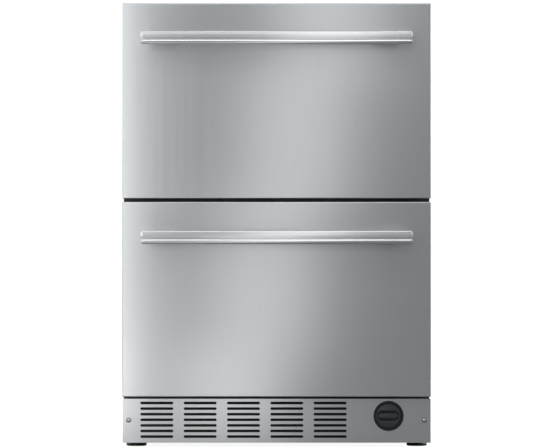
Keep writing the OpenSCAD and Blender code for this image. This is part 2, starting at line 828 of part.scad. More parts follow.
module compressor_mounts() {
    z0 = compressor_pos[2] - mount_rubber_h;
    top = compressor_pos[2] + 3;
    color("#111214") for (q = mount_places) translate([q[0], q[1], 0]) rotate_extrude() {
        span(0, z0, mount_neck_r + 3, compressor_pos[2] - 3);
        span(0, z0, mount_neck_r - fit, top);
        span(0, compressor_pos[2] + 0.5, mount_neck_r + 2.5, top);
    }
}

module relay_box() {
    p = compressor_pos;
    w = 46;
    rise = 30;
    proud = 5;
    under_seam = 6.5;
    color("#26282a") difference() {
        translate([p[0] - w / 2, p[1] - compressor_r - proud, p[2] + rise])
            cube([w, 24, compressor_h * seam_share - under_seam - rise]);
        translate([p[0], p[1], p[2] - 10]) cylinder(h = compressor_h, r = compressor_r + fit, $fn = 96);
    }
}

// Finned coil: plates along X on a serpentine tube, from the origin up and to +Y
module finned_coil(w, h, d, fins, rows, fin_t) {
    row_pitch = h / rows;
    fin_pitch = (w - fin_t) / (fins - 1);
    for (i = [0 : fins - 1])
        translate([-w / 2 + i * fin_pitch, 0, 0]) cube([fin_t, d, h]);
    for (j = [0 : rows - 1])
        rod_x(-w / 2 - tube_reach, w / 2 + tube_reach, d / 2, (j + 0.5) * row_pitch, pipe_r);
    for (j = [0 : rows - 2]) {
        s = j % 2 == 0 ? -1 : 1;
        translate([s * (w / 2 + tube_reach), d / 2, (j + 1) * row_pitch]) rotate([90, 0, 0])
            rotate([0, 0, s > 0 ? -90 : 90]) rotate_extrude(angle = 180)
                translate([row_pitch / 2, 0]) circle(pipe_r, $fn = 32);
    }
}

module condenser_coil() {
    foot_w = 12;
    color("#3a3c3e") translate(condenser_pos)
        finned_coil(condenser_w, condenser_h, condenser_d, condenser_fins, condenser_rows, 1);
    // feet of the coil on the base pan
    color("#3a3c3e") for (s = [-1, 1])
        translate(condenser_pos + [s * (condenser_w / 2 - foot_w) - foot_w / 2, 0, -condenser_lift])
            cube([foot_w, condenser_d, condenser_lift]);
}

// Fan with cambered blades on a hub, its axis along Y and its middle at the origin
module fan_wheel(tip_r, hub_r, depth, blades) {
    camber_r = tip_r * 0.9;
    union() {
        rod_y(0, 0, hub_r, -depth / 2, depth / 2);
        rotate([-90, 0, 0]) intersection() {
            difference() {
                cylinder(h = depth, r = tip_r, center = true, $fn = 96);
                cylinder(h = depth + 1, r = hub_r - 2, center = true);
            }
            for (k = [0 : blades - 1]) rotate([0, 0, k * 360 / blades]) rotate([35, 0, 0]) intersection() {
                translate([0, -tip_r * 0.45, -depth]) cube([tip_r + 2, tip_r * 0.9, 2 * depth]);
                translate([0, 0, camber_r]) rotate([0, 90, 0]) difference() {
                    cylinder(h = tip_r + 2, r = camber_r + 1, $fn = 96);
                    translate([0, 0, -1]) cylinder(h = tip_r + 4, r = camber_r - 1, $fn = 96);
                }
            }
        }
    }
}

module condenser_fan() {
    color("#1f2123") translate(fan_pos) {
        fan_wheel(fan_r, fan_r * 0.27, fan_depth, 5);
        rod_y(0, 0, axle_r, fan_depth / 2 - 1, fan_depth / 2 + 13);
    }
}

module fan_shroud() {
    p = fan_pos;
    y0 = condenser_pos[1] + condenser_d;
    y1 = p[1] + fan_depth / 2 + 3;
    ring_r = fan_r + 3;
    color("#232527") difference() {
        union() {
            along_y(y0, y0 + 2) translate([condenser_pos[0], 0])
                span(-condenser_w / 2, condenser_pos[2], condenser_w / 2, condenser_pos[2] + condenser_h);
            rod_y(p[0], p[2], ring_r + 3, y0, y1);
        }
        rod_y(p[0], p[2], ring_r, y0 - 1, y1 + 1);
    }
    // three arms that carry the motor
    color("#232527") difference() {
        for (a = [90, 210, 330]) translate([p[0], 0, p[2]]) rotate([0, -a, 0])
            along_y(y1 - 3, y1) span(motor_r - 1, -4, ring_r + 2, 4);
        rod_y(p[0], p[2], motor_r, y1 - 4, y1 + 1);
    }
}
motor_r = 24;

module condenser_fan_motor() {
    p = fan_pos;
    y0 = p[1] + fan_depth / 2 + 1;
    color("#4c4f52") translate([p[0], 0, p[2]]) difference() {
        union() {
            rod_y(0, 0, motor_r, y0, y0 + 26);
            rod_y(0, 0, 10, y0 + 25, y0 + 30);
        }
        rod_y(0, 0, axle_r + fit, y0 - 1, y0 + 20);
    }
}

drier_pos = [compressor_pos[0] - compressor_r - 30, y_back - 34, base_floor + 42];
drier_l = 104;
pipe_bend = 10;
drier_r = 9;
drier_cone = 12;

module filter_drier() {
    color("#b5734a") translate(drier_pos) rotate_extrude() {
        polygon([[0, 0], [pipe_r, 0], [drier_r, drier_cone], [0, drier_cone]]);
        span(0, drier_cone, drier_r, drier_l - drier_cone);
        polygon([[0, drier_l - drier_cone], [drier_r, drier_l - drier_cone], [pipe_r, drier_l], [0, drier_l]]);
    }
}

module refrigerant_pipes() {
    c = compressor_pos;
    stub_x = c[0] - compressor_r - stub_l / 2;
    stub_z = c[2] + compressor_h * seam_share + stub_rise;
    row_pitch = condenser_h / condenser_rows;
    coil_end = [condenser_pos[0] + condenser_w / 2 + tube_reach, condenser_pos[1] + condenser_d / 2];
    coil_low = condenser_pos[2] + row_pitch / 2;
    coil_high = condenser_pos[2] + condenser_h - row_pitch / 2;
    color("#b5734a") {
        // hot gas from the can to the coil's top row
        pipe([
            [stub_x, c[1] - stub_dy, stub_z], [stub_x - 24, c[1] - stub_dy, stub_z],
            [stub_x - 24, c[1] - stub_dy, coil_high], [stub_x - 24, coil_end[1], coil_high],
            [coil_end[0], coil_end[1], coil_high]
        ], pipe_r, pipe_bend);
        // suction from the insulation back to the can
        pipe([
            [stub_x, c[1] + stub_dy, stub_z], [stub_x - 18, c[1] + stub_dy, stub_z],
            [stub_x - 18, c[1] + stub_dy, machine_rear_h]
        ], pipe_r, pipe_bend);
        // liquid from the coil's bottom row to the drier
        pipe([
            [coil_end[0], coil_end[1], coil_low], [drier_pos[0], coil_end[1], coil_low],
            [drier_pos[0], drier_pos[1], coil_low], drier_pos
        ], pipe_r, pipe_bend);
        // capillary from the drier up into the insulation
        pipe([drier_pos + [0, 0, drier_l], [drier_pos[0], drier_pos[1], machine_rear_h]], 1.5, 0);
    }
}

module drain_pan() {
    p = compressor_pos;
    z0 = p[2] + compressor_h;
    wall = 2;
    half_w = compressor_r - 10;
    half_d = compressor_r - 22;
    corner = 10;
    color("#3b3e40") translate([p[0], p[1], 0]) difference() {
        along_z(z0, z0 + drain_pan_h) round_span(-half_w, -half_d, half_w, half_d, corner);
        along_z(z0 + wall, z0 + drain_pan_h + 1)
            round_span(-half_w + wall, -half_d + wall, half_w - wall, half_d - wall, corner - wall);
    }
}

// ---- inside the upper compartment ----

module evaporator_coil() {
    y0 = evaporator_y + evaporator_front_gap;
    color("#c6cacc") translate([0, y0, evaporator_z])
        finned_coil(evaporator_w, evaporator_h, y_liner_back - y0, evaporator_fins, evaporator_rows, 1);
}

module evaporator_cover() {
    wall = 2.5;
    corner = liner_r + 2;
    half = in_half - 6;
    z0 = room_z0[1] + 4;
    z1 = room_z1[1] - 4;
    slot_pitch = 28;
    slots = floor((half - 40) / slot_pitch);
    ring_pitch = (small_fan_r - 9) / 3;
    ring_w = 8;
    spoke_w = 4;
    color("#e4e6e5") difference() {
        union() {
            along_y(evaporator_y, y_liner_back) difference() {
                round_span(-half, z0, half, z1, corner);
                round_span(-half + wall, z0 + wall, half - wall, z1 - wall, corner - wall);
            }
            along_y(evaporator_y, evaporator_y + wall) round_span(-half, z0, half, z1, corner);
            // raised ring around the fan's grille
            rod_y(small_fan_pos[0], small_fan_pos[2], small_fan_r + 4, evaporator_y - 3, evaporator_y + 1);
        }
        // return slots along the bottom
        along_y(evaporator_y - 1, evaporator_y + wall + 1) for (k = [-slots : slots])
            translate([k * slot_pitch, z0 + 22]) rotate(90) round_slot(24, 8);
        // rings of air slots in front of the fan
        for (ring = [0 : 2]) {
            r = small_fan_r - 6 - ring * ring_pitch;
            translate([small_fan_pos[0], evaporator_y - 4, small_fan_pos[2]]) rotate([-90, 0, 0]) difference() {
                cylinder(h = 10, r = r);
                translate([0, 0, -1]) cylinder(h = 12, r = r - ring_w);
                for (a = [0 : 45 : 179]) rotate([0, 0, a + 22.5])
                    translate([-r - 1, -spoke_w / 2, -1]) cube([2 * r + 2, spoke_w, 12]);
            }
        }
    }
}

module evaporator_fan_motor() {
    p = small_fan_pos;
    y0 = p[1] + small_fan_depth / 2 + 1;
    can_r = 15;
    bracket_t = 3;
    color("#4c4f52") translate([p[0], 0, p[2]]) {
        difference() {
            rod_y(0, 0, can_r, y0, y_liner_back);
            rod_y(0, 0, axle_r + fit, y0 - 1, y0 + 14);
        }
        difference() {
            along_y(y_liner_back - bracket_t, y_liner_back) round_slot(2 * small_fan_r - 6, can_r + 1);
            rod_y(0, 0, can_r - 1, y0 - 1, y_liner_back + 1);
        }
    }
}

module evaporator_fan() {
    color("#2a2c2e") translate(small_fan_pos) {
        fan_wheel(small_fan_r - 4, small_fan_r * 0.27, small_fan_depth, 5);
        rod_y(0, 0, axle_r, small_fan_depth / 2 - 1, small_fan_depth / 2 + 9);
    }
}

module control_panel() {
    z1 = room_z1[1];
    y0 = y_face + 26;
    panel_w = 190;
    drop = 20;
    depth = 66;
    slope = 8;
    key_r = 8;
    well = 1;
    color("#202224") difference() {
        along_x(panel_w) polygon([
            [y0, z1 - 6], [y0 + slope, z1 - drop], [y0 + depth - slope, z1 - drop], [y0 + depth, z1], [y0, z1]
        ]);
        // keys moulded as shallow round wells, and a window for the figures
        for (k = [-2 : 2]) if (k != 0)
            translate([k * (2 * key_r + 14), y0 + depth / 2, z1 - drop - 1]) cylinder(h = 1 + well, r = key_r);
        along_z(z1 - drop - 1, z1 - drop + well)
            round_span(-key_r - 6, y0 + depth / 2 - 10, key_r + 6, y0 + depth / 2 + 10, 2);
    }
}

module light_lenses() {
    w = 300;
    lens_r = 20;
    lens_drop = 8;
    setback = [60, 110];
    color("#f7f7ee") for (i = [0, 1])
        translate([0, y_face + setback[i], room_z1[i]]) rotate([90, 0, 90]) linear_extrude(w, center = true)
            intersection() {
                translate([0, lens_r - lens_drop]) circle(lens_r);
                span(-lens_r, -lens_drop - 1, lens_r, 0);
            }
}

// ---- slides ----

// Both sides of one drawer: the child's profile has u from the liner inwards and w up
module rail_pair(i, y0, y1) {
    for (s = [0, 1]) mirror([s, 0, 0]) translate([-in_half, 0, slide_z[i]]) along_y(y0, y1) children();
}

outer_ball_clear = 0.4;
inner_ball_clear = 0.2;
ball_lip_gap = 0.3;
ball_sink = 0.1;
member_gap = 2;
lip_step = 2.4;
half_h = slide_h / 2;
mid_half = half_h - slide_sheet - 2 * ball_r - outer_ball_clear;
mid_web = slide_sheet + member_gap;
mid_reach = slide_t - member_gap;
outer_reach = mid_reach - lip_step;
inner_half = mid_half - slide_sheet - 2 * ball_r - inner_ball_clear;

// Channel open towards +u: web, two flanges and their lips
module channel(u0, u1, half, sheet, lip) {
    span(u0, -half, u0 + sheet, half);
    for (s = [0, 1]) mirror([0, s]) {
        span(u0, half - sheet, u1, half);
        span(u1 - sheet, half - lip, u1, half);
    }
}

// Rows of balls on the middle member, sunk a little into its flanges
module ball_rows(i, y0) {
    row_u = [for (reach = [outer_reach, mid_reach]) reach - slide_sheet - ball_r - ball_lip_gap];
    pitch = slide_l * 0.42 / balls;
    for (s = [0, 1]) mirror([s, 0, 0]) translate([-in_half, y0, slide_z[i]])
        for (v = [-1, 1], k = [0 : balls - 1]) {
            translate([row_u[0], slide_l * 0.06 + k * pitch, v * (mid_half + ball_r - ball_sink)])
                sphere(ball_r, $fn = 24);
            translate([row_u[1], slide_l * 0.52 + k * pitch, v * (mid_half - slide_sheet - ball_r + ball_sink)])
                sphere(ball_r, $fn = 24);
        }
}

// Holes for the screws that hold a member by its web
module web_holes(i, u0, y0) {
    for (s = [0, 1]) mirror([s, 0, 0]) for (k = [0.08, 0.5, 0.92])
        rod_x(-in_half + u0 - 2, -in_half + u0 + 3, y0 + k * slide_l, slide_z[i], 2.2);
}

module cabinet_rails(i) {
    color("#c3c7c9") difference() {
        rail_pair(i, y_slide, y_slide + slide_l) channel(0, outer_reach, half_h, slide_sheet, 3);
        web_holes(i, 0, y_slide);
    }
}

module middle_rails(i) {
    color("#b3b7ba") {
        rail_pair(i, y_slide, y_slide + slide_l) channel(mid_web, mid_reach, mid_half, slide_sheet, 2.6);
        ball_rows(i, y_slide);
    }
}

module drawer_rails(i) {
    color("#c3c7c9") difference() {
        rail_pair(i, y_slide, y_slide + slide_l) mirror([1, 0]) translate([-slide_t, 0])
            channel(0, slide_t - mid_web - slide_sheet - 1.6, inner_half, slide_sheet, 2.2);
        web_holes(i, slide_t - 1, y_slide);
    }
}

// ---- drawers ----

// Solid block of a front between two depths, with its front edges rounded
module front_block(i, inset, y0, y1, r) {
    half = front_w / 2 - inset;
    z0 = front_z[i] + inset;
    z1 = front_z[i] + front_h - inset;
    intersection() {
        translate([0, y0, 0]) along_z(z0, z1) nosed_span(half, y1 - y0, r);
        translate([0, y0, (z0 + z1) / 2]) rotate([0, 90, 0]) linear_extrude(2 * half, center = true)
            nosed_span((z1 - z0) / 2, y1 - y0, r);
    }
}

module front_skin(i) {
    color("#c4c7c8") difference() {
        front_block(i, 0, y_front, y_panel, skin_bend_r + skin_t);
        front_block(i, skin_t, y_front + skin_t, y_panel + 1, skin_bend_r);
        handle_screw_holes(i);
    }
}

module handle_screw_holes(i) {
    for (s = [-1, 1])
        rod_y(s * handle_post_pitch / 2, handle_z[i] + handle_screw_z, handle_screw_r + fit,
            y_front - 1, y_front + skin_t + 1);
}

// Raised middle of an inner panel, drawn in by an inset
module plateau(i, inset, y0, y1) {
    m = plateau_margin + inset;
    along_y(y0, y1) round_span(-in_half + m, room_z0[i] + m, in_half - m, room_z1[i] - m, liner_r);
}

module front_core(i) {
    color("#e9d9a8") {
        front_block(i, skin_t, y_front + skin_t, y_panel - panel_t, skin_bend_r);
        plateau(i, panel_t, y_panel - panel_t - 1, y_plateau - panel_t);
    }
}

module inner_panel(i) {
    half = front_w / 2 - skin_t;
    color("#eef0ee") difference() {
        union() {
            along_y(y_panel - panel_t, y_panel)
                span(-half, front_z[i] + skin_t, half, front_z[i] + front_h - skin_t);
            plateau(i, 0, y_panel - 1, y_plateau);
        }
        plateau(i, panel_t, y_panel - panel_t - 1, y_plateau - panel_t);
        along_y(y_panel - dart_h, y_panel + 1) opening_ring(i, dart_from, dart_from + dart_w);
    }
}
dart_w = 4;
dart_h = 1.5;
dart_from = seal_offset + gasket_w / 2 - dart_w / 2;

module gasket(i) {
    color("#8f9294") {
        along_y(y_panel - dart_h, y_panel + 0.5) opening_ring(i, dart_from, dart_from + dart_w);
        along_y(y_panel, y_panel + 2.5) opening_ring(i, seal_offset, seal_offset + gasket_w);
        along_y(y_panel + 2.5, y_face - 5.5) opening_ring(i, seal_offset + 3, seal_offset + gasket_w - 3);
        along_y(y_face - 5.5, y_face) difference() {
            opening_ring(i, seal_offset + 0.5, seal_offset + gasket_w - 0.5);
            opening_ring(i, seal_offset + gasket_w / 2 - 3, seal_offset + gasket_w / 2 + 3);
        }
        along_y(y_face - 4.3, y_face - 1.2) opening_ring(i, seal_offset + 0.5, seal_offset + gasket_w - 0.5);
    }
}

// Section of a handle bar in Y and Z: a slab with soft corners over a round bead
module handle_section() {
    slab_h = handle_h - 2 * handle_bead_r - 3;
    translate([handle_bead_r, handle_bead_r]) circle(handle_bead_r);
    round_span(0, handle_h - slab_h, handle_d, handle_h, 4);
    round_span(handle_bead_r, handle_bead_r - 4, handle_d, handle_h - 2, 3);
    span(handle_bead_r - 2.6, handle_bead_r, handle_d - 3, handle_h - 5);
}

module handle_bar(i) {
    end_r = 5;
    screw_depth = 8;
    color("#cfd2d3") difference() {
        intersection() {
            translate([0, y_handle, handle_z[i]]) along_x(handle_l) handle_section();
            along_z(handle_z[i] - 1, handle_z[i] + handle_h + 1)
                round_span(-handle_l / 2, y_handle, handle_l / 2, y_handle + 2 * handle_d, end_r);
        }
        for (s = [-1, 1]) rod_y(s * handle_post_pitch / 2, handle_z[i] + handle_screw_z, handle_screw_r,
            y_handle + handle_d - screw_depth, y_handle + handle_d + 1);
    }
}

// Standoffs that widen towards the front
module handle_posts(i) {
    y0 = y_handle + handle_d;
    half = handle_post_w / 2;
    waist = half * 0.72;
    flare = [10, 6];
    z0 = handle_z[i] + handle_screw_z - handle_post_h / 2;
    color("#a9adaf") for (s = [-1, 1]) translate([s * handle_post_pitch / 2, 0, 0]) difference() {
        along_z(z0, z0 + handle_post_h) polygon([
            [-half, y0], [half, y0], [waist, y0 + flare[0]], [waist, y_front - flare[1]], [half, y_front],
            [-half, y_front], [-waist, y_front - flare[1]], [-waist, y0 + flare[0]]
        ]);
        rod_y(0, handle_z[i] + handle_screw_z, handle_screw_r, y0 - 1, y_front + 1);
    }
}

// Plan of a bin from its front wall to the back
module bin_plan(i, grow) {
    round_span(-bin_half - grow, -grow, bin_half + grow, bin_d[i] + grow, bin_r + grow);
}

// Plan of the rim, which ends flush with the bin's front wall
module rim_plan(i, grow) {
    half = bin_half + bin_rim + grow;
    round_span(-half, grow < 0 ? -1 : 0, half, bin_d[i] + bin_rim + grow, bin_r + grow);
}

// Seams between a bin's floor, its four walls and its corner posts
module bin_seams(i) {
    h = bin_h[i];
    reach = bin_rim + 1;
    along_z(bin_floor, bin_floor + panel_seam) difference() {
        bin_plan(i, reach);
        bin_plan(i, -bin_wall);
    }
    along_z(bin_floor, h + 1) {
        for (s = [0, 1], y = [-reach, bin_d[i] - bin_r]) mirror([s, 0])
            translate([bin_half - bin_r, y]) square([panel_seam, bin_r + reach]);
        for (s = [0, 1], y = [bin_r, bin_d[i] - bin_r]) mirror([s, 0])
            translate([bin_half - bin_r, y]) square([bin_r + reach, panel_seam]);
    }
}

// Bin put together from a beaded floor, four walls and four corner posts
module storage_bin(i) {
    h = bin_h[i];
    bead_half = 5;
    bead_in = 30;
    bead_pitch = 52;
    beads = floor((bin_half - 40) / bead_pitch);
    color("#dfe2e3") translate([0, y_plateau, bin_z[i]]) {
        difference() {
            union() {
                along_z(0, h) bin_plan(i, 0);
                along_z(h - bin_wall, h) rim_plan(i, 0);
                along_z(h - bin_rim, h) difference() {
                    rim_plan(i, 0);
                    rim_plan(i, -bin_wall);
                }
            }
            along_z(bin_floor, h + 1) bin_plan(i, -bin_wall);
            bin_seams(i);
        }
        for (k = [-beads : beads]) along_z(bin_floor - 0.5, bin_floor + 1.5)
            round_span(k * bead_pitch - bead_half, bead_in, k * bead_pitch + bead_half, bin_d[i] - bead_in,
                bead_half - 0.2);
    }
}

divider_at = [0.52, 0.5];

module divider(i) {
    sheet = 2;
    half = bin_half - bin_wall;
    h = bin_h[i];
    y = bin_d[i] * divider_at[i];
    hook = 14;
    dip = 30;
    slot_pitch = 32;
    slots = floor((half - dip) / slot_pitch);
    color("#c8cccd") translate([0, y_plateau + y, bin_z[i]]) {
        along_y(-sheet / 2, sheet / 2) difference() {
            span(-half, bin_floor + 2, half, h + sheet);
            round_span(-half + dip, h * 0.62, half - dip, h + 40, 20);
            for (k = [-slots : slots]) translate([k * slot_pitch, h * 0.3]) rotate(90) round_slot(h * 0.34, 12);
        }
        for (s = [-1, 1]) {
            along_z(h, h + sheet) mirror([s > 0 ? 0 : 1, 0])
                span(half - 1, -hook, half + bin_wall + bin_rim, hook);
            along_x_at(s * (bin_half + bin_rim + sheet / 2), sheet) span(-hook, h - bin_rim, hook, h + sheet);
        }
    }
}

// A profile in Y and Z, pulled to a thin plate about one x
module along_x_at(x, t) {
    translate([x, 0, 0]) along_x(t) children();
}

// ---- feet ----

module foot(k) {
    p = foot_places[k];
    r = foot_d / 2;
    sole = 4;
    dome_r = 6;
    hex_h = 6;
    stem_h = base_z + 15;
    color("#141516") translate([p[0], p[1], 0]) {
        rotate_extrude() {
            round_span(0, 0, r - 1.5, sole, sole / 2 - 0.1);
            span(0, 0, r - dome_r, foot_pad_h);
            intersection() {
                translate([r - dome_r, foot_pad_h - dome_r]) circle(dome_r);
                span(0, 1, r, foot_pad_h);
            }
            span(r - 8, 0, r - 1.9, sole - 1);
            span(0, 0, foot_stem_r, stem_h);
        }
        along_z(foot_pad_h - 1, foot_pad_h + hex_h) circle(foot_stem_r + 3, $fn = 6);
    }
}

// ---- all pieces ----

cabinet_shell();
cabinet_insulation();
upper_liner();
lower_liner();
mullion_bar();
back_panel();
machine_cover();
cover_screws();
base_pan();
toe_grille();
grille_screws();
compressor();
compressor_mounts();
relay_box();
condenser_coil();
fan_shroud();
condenser_fan_motor();
condenser_fan();
filter_drier();
refrigerant_pipes();
evaporator_coil();
evaporator_cover();
evaporator_fan_motor();
evaporator_fan();
drain_pan();
control_panel();
light_lenses();
filter_housing();
filter_cartridge();
filter_cap();
inlet_valve();
water_line();
cord_gland();
cabinet_rails(1);  // upper_cabinet_rails
middle_rails(1);  // upper_middle_rails
drawer_rails(1);  // upper_drawer_rails
front_skin(1);  // upper_front_skin
front_core(1);  // upper_front_core
inner_panel(1);  // upper_inner_panel
gasket(1);  // upper_gasket
handle_bar(1);  // upper_handle_bar
handle_posts(1);  // upper_handle_posts
storage_bin(1);  // upper_bin
divider(1);  // upper_divider
cabinet_rails(0);  // lower_cabinet_rails
middle_rails(0);  // lower_middle_rails
drawer_rails(0);  // lower_drawer_rails
front_skin(0);  // lower_front_skin
front_core(0);  // lower_front_core
inner_panel(0);  // lower_inner_panel
gasket(0);  // lower_gasket
handle_bar(0);  // lower_handle_bar
handle_posts(0);  // lower_handle_posts
storage_bin(0);  // lower_bin
divider(0);  // lower_divider
foot(0);  // foot_front_left
foot(1);  // foot_front_right
foot(2);  // foot_back_left
foot(3);  // foot_back_right
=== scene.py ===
"""Looks of an undercounter refrigerator with two drawers, dressed around its fixed frame.

Everything is in metres in the frame's own axes: +Z is up, the drawers open towards -Y and +X is to the
right as seen from the front.
"""

import json
import logging
import math
from dataclasses import dataclass, field
from enum import Enum
from typing import Callable

import bmesh
import bpy
from mathutils import Matrix, Vector


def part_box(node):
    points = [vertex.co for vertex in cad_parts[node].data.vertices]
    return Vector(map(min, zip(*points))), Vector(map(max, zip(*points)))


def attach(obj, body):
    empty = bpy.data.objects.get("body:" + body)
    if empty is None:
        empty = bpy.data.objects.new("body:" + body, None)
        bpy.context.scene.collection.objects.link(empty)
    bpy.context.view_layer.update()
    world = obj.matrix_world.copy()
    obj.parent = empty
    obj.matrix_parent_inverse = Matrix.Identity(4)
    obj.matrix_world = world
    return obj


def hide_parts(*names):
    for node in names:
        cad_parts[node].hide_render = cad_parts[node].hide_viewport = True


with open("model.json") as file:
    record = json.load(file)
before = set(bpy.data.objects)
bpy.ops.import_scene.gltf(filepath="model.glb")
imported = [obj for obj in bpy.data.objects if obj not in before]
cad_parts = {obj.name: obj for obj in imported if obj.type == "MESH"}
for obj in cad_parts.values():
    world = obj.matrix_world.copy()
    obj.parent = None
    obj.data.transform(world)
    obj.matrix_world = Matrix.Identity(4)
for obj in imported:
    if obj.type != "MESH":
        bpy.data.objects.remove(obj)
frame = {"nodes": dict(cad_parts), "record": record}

Point = tuple[float, float, float]
Colour = tuple[float, float, float]
Scale = tuple[float, float, float]
Span = tuple[float, float]
Outline = list[tuple[float, float]]
Ring = list[Point]
Socket = bpy.types.NodeSocket
Material = bpy.types.Material
Piece = bpy.types.Object

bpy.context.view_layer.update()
NODES: dict[str, Piece] = frame["nodes"]
SLOTS: dict[str, str] = {row["node"]: row["material_slot"] for row in frame["record"]["subparts"]}
SMOOTH_BELOW = 32.0
BODIES: dict[str, list[str]] = frame["record"]["behaviour"]["bodies"]
BODY_OF: dict[str, str] = {node: body for body, nodes in BODIES.items() for node in nodes}

log = logging.getLogger("refrigerator")


# ---------------------------------------------------------------- finishes


class Grain(Enum):
    """Axis along which a surface was brushed or drawn."""

    ALONG_X = (1.0, 0.0, 0.0)
    ALONG_Y = (0.0, 1.0, 0.0)
    ALONG_Z = (0.0, 0.0, 1.0)


class Shader:
    """Small builder for one procedural material on Object coordinates."""

    def __init__(self, name: str) -> None:
        """Start an empty material with a Principled shader.

        Args:
            name: The material's name.
        """
        self.material = bpy.data.materials.new(name)
        self.material.use_nodes = True
        self.tree = self.material.node_tree
        self.tree.nodes.clear()
        out = self.tree.nodes.new("ShaderNodeOutputMaterial")
        self.surface = self.tree.nodes.new("ShaderNodeBsdfPrincipled")
        self.tree.links.new(self.surface.outputs["BSDF"], out.inputs["Surface"])
        self.coordinates = self.tree.nodes.new("ShaderNodeTexCoord")

    def constant(self, **values: float | tuple[float, ...]) -> "Shader":
        """Set constants on the shader's own sockets.

        Args:
            **values: Socket names with underscores for spaces, and their values.

        Returns:
            The builder itself.
        """
        for key, value in values.items():
            self.surface.inputs[key.replace("_", " ")].default_value = value
        return self

    def stretched(self, scale: Scale) -> Socket:
        """Object coordinates multiplied along each axis.

        Args:
            scale: Pattern repeats per metre along X, Y and Z.

        Returns:
            The vector socket that a texture reads.
        """
        mapping = self.tree.nodes.new("ShaderNodeMapping")
        mapping.inputs["Scale"].default_value = scale
        self.tree.links.new(self.coordinates.outputs["Object"], mapping.inputs["Vector"])
        return mapping.outputs["Vector"]

    def noise(self, scale: Scale, detail: float = 2.0, roughness: float = 0.5) -> Socket:
        """Noise whose grains have a given size along each axis.

        Args:
            scale: Grains per metre along X, Y and Z.
            detail: Octaves of the noise.
            roughness: Weight of the finer octaves.

        Returns:
            The noise's factor socket.
        """
        node = self.tree.nodes.new("ShaderNodeTexNoise")
        node.inputs["Scale"].default_value = 1.0
        node.inputs["Detail"].default_value = detail
        node.inputs["Roughness"].default_value = roughness
        self.tree.links.new(self.stretched(scale), node.inputs["Vector"])
        return node.outputs["Fac"]

    def cells(self, scale: float) -> bpy.types.ShaderNodeTexVoronoi:
        """Cell pattern, as of spangle, pebbled plastic or foam.

        Args:
            scale: Cells per metre.

        Returns:
            The Voronoi node.
        """
        node = self.tree.nodes.new("ShaderNodeTexVoronoi")
        node.inputs["Scale"].default_value = 1.0
        self.tree.links.new(self.stretched((scale, scale, scale)), node.inputs["Vector"])
        return node

    def ranged(self, value: Socket, low: float, high: float, start: float = 0.3, end: float = 0.7) -> Socket:
        """Map a factor to a range of numbers.

        Args:
            value: The factor's socket.
            low: Result at the start of the factor's range.
            high: Result at its end.
            start: Factor that gives the low result.
            end: Factor that gives the high result.

        Returns:
            The mapped socket.
        """
        node = self.tree.nodes.new("ShaderNodeMapRange")
        for key, number in (("From Min", start), ("From Max", end), ("To Min", low), ("To Max", high)):
            node.inputs[key].default_value = number
        self.tree.links.new(value, node.inputs["Value"])
        return node.outputs["Result"]

    def blended(self, value: Socket, low: Colour, high: Colour) -> Socket:
        """Blend two colours by a factor.

        Args:
            value: The factor's socket, 0 to 1.
            low: Colour where the factor is 0.
            high: Colour where it is 1.

        Returns:
            The colour socket.
        """
        node = self.tree.nodes.new("ShaderNodeValToRGB")
        for stop, position, colour in zip(node.color_ramp.elements, (0.3, 0.7), (low, high)):
            stop.position, stop.color = position, (*colour, 1.0)
        self.tree.links.new(value, node.inputs["Fac"])
        return node.outputs["Color"]

    def drive(self, socket: str, value: Socket) -> "Shader":
        """Link a varying value to one of the shader's sockets.

        Args:
            socket: Name of the shader's input.
            value: The socket that drives it.

        Returns:
            The builder itself.
        """
        self.tree.links.new(value, self.surface.inputs[socket])
        return self

    def bumped(self, *layers: tuple[Socket, float]) -> "Shader":
        """Add bump layers, each with its own height.

        Args:
            *layers: Pairs of a factor socket and its height in metres.

        Returns:
            The builder itself.
        """
        last = None
        for value, height in layers:
            node = self.tree.nodes.new("ShaderNodeBump")
            node.inputs["Strength"].default_value = 1.0
            node.inputs["Distance"].default_value = height
            self.tree.links.new(value, node.inputs["Height"])
            if last is not None:
                self.tree.links.new(last.outputs["Normal"], node.inputs["Normal"])
            last = node
        if last is not None:
            self.tree.links.new(last.outputs["Normal"], self.surface.inputs["Normal"])
        return self


def shade(colour: Colour, factor: float) -> Colour:
    """Lighten or darken a colour.

    Args:
        colour: Linear red, green and blue.
        factor: Multiplier.

    Returns:
        The multiplied colour, kept at or below 1.
    """
    return tuple(min(1.0, c * factor) for c in colour)


@dataclass(frozen=True)
class BrushedSteel:
    """Stainless steel with a fine grain along one axis."""

    name: str
    colour: Colour = (0.62, 0.635, 0.645)
    grain: Grain = Grain.ALONG_Z
    line: float = 0.00042
    length: float = 0.06
    roughness: Span = (0.335, 0.365)
    contrast: float = 0.035
    depth: float = 0.0000022

    def scale(self, line: float, length: float) -> Scale:
        """Grains per metre along each axis for a line of a given width and length."""
        return tuple(1.0 / length if along else 1.0 / line for along in self.grain.value)

    def make(self) -> Material:
        """Build the material.

        Returns:
            The finished material.
        """
        s = Shader(self.name).constant(Metallic=1.0)
        fine = s.noise(self.scale(self.line, self.length), detail=3.0, roughness=0.65)
        broad = s.noise(self.scale(self.line * 5, self.length * 6), detail=3.0)
        cloud = s.noise((5.0, 5.0, 5.0), detail=1.0)
        dark, light = (shade(self.colour, 1 + sign * self.contrast) for sign in (-1, 1))
        s.drive("Base Color", s.blended(fine, dark, light))
        s.drive("Roughness", s.ranged(broad, *self.roughness))
        s.bumped((fine, self.depth), (cloud, self.depth * 2))
        return s.material


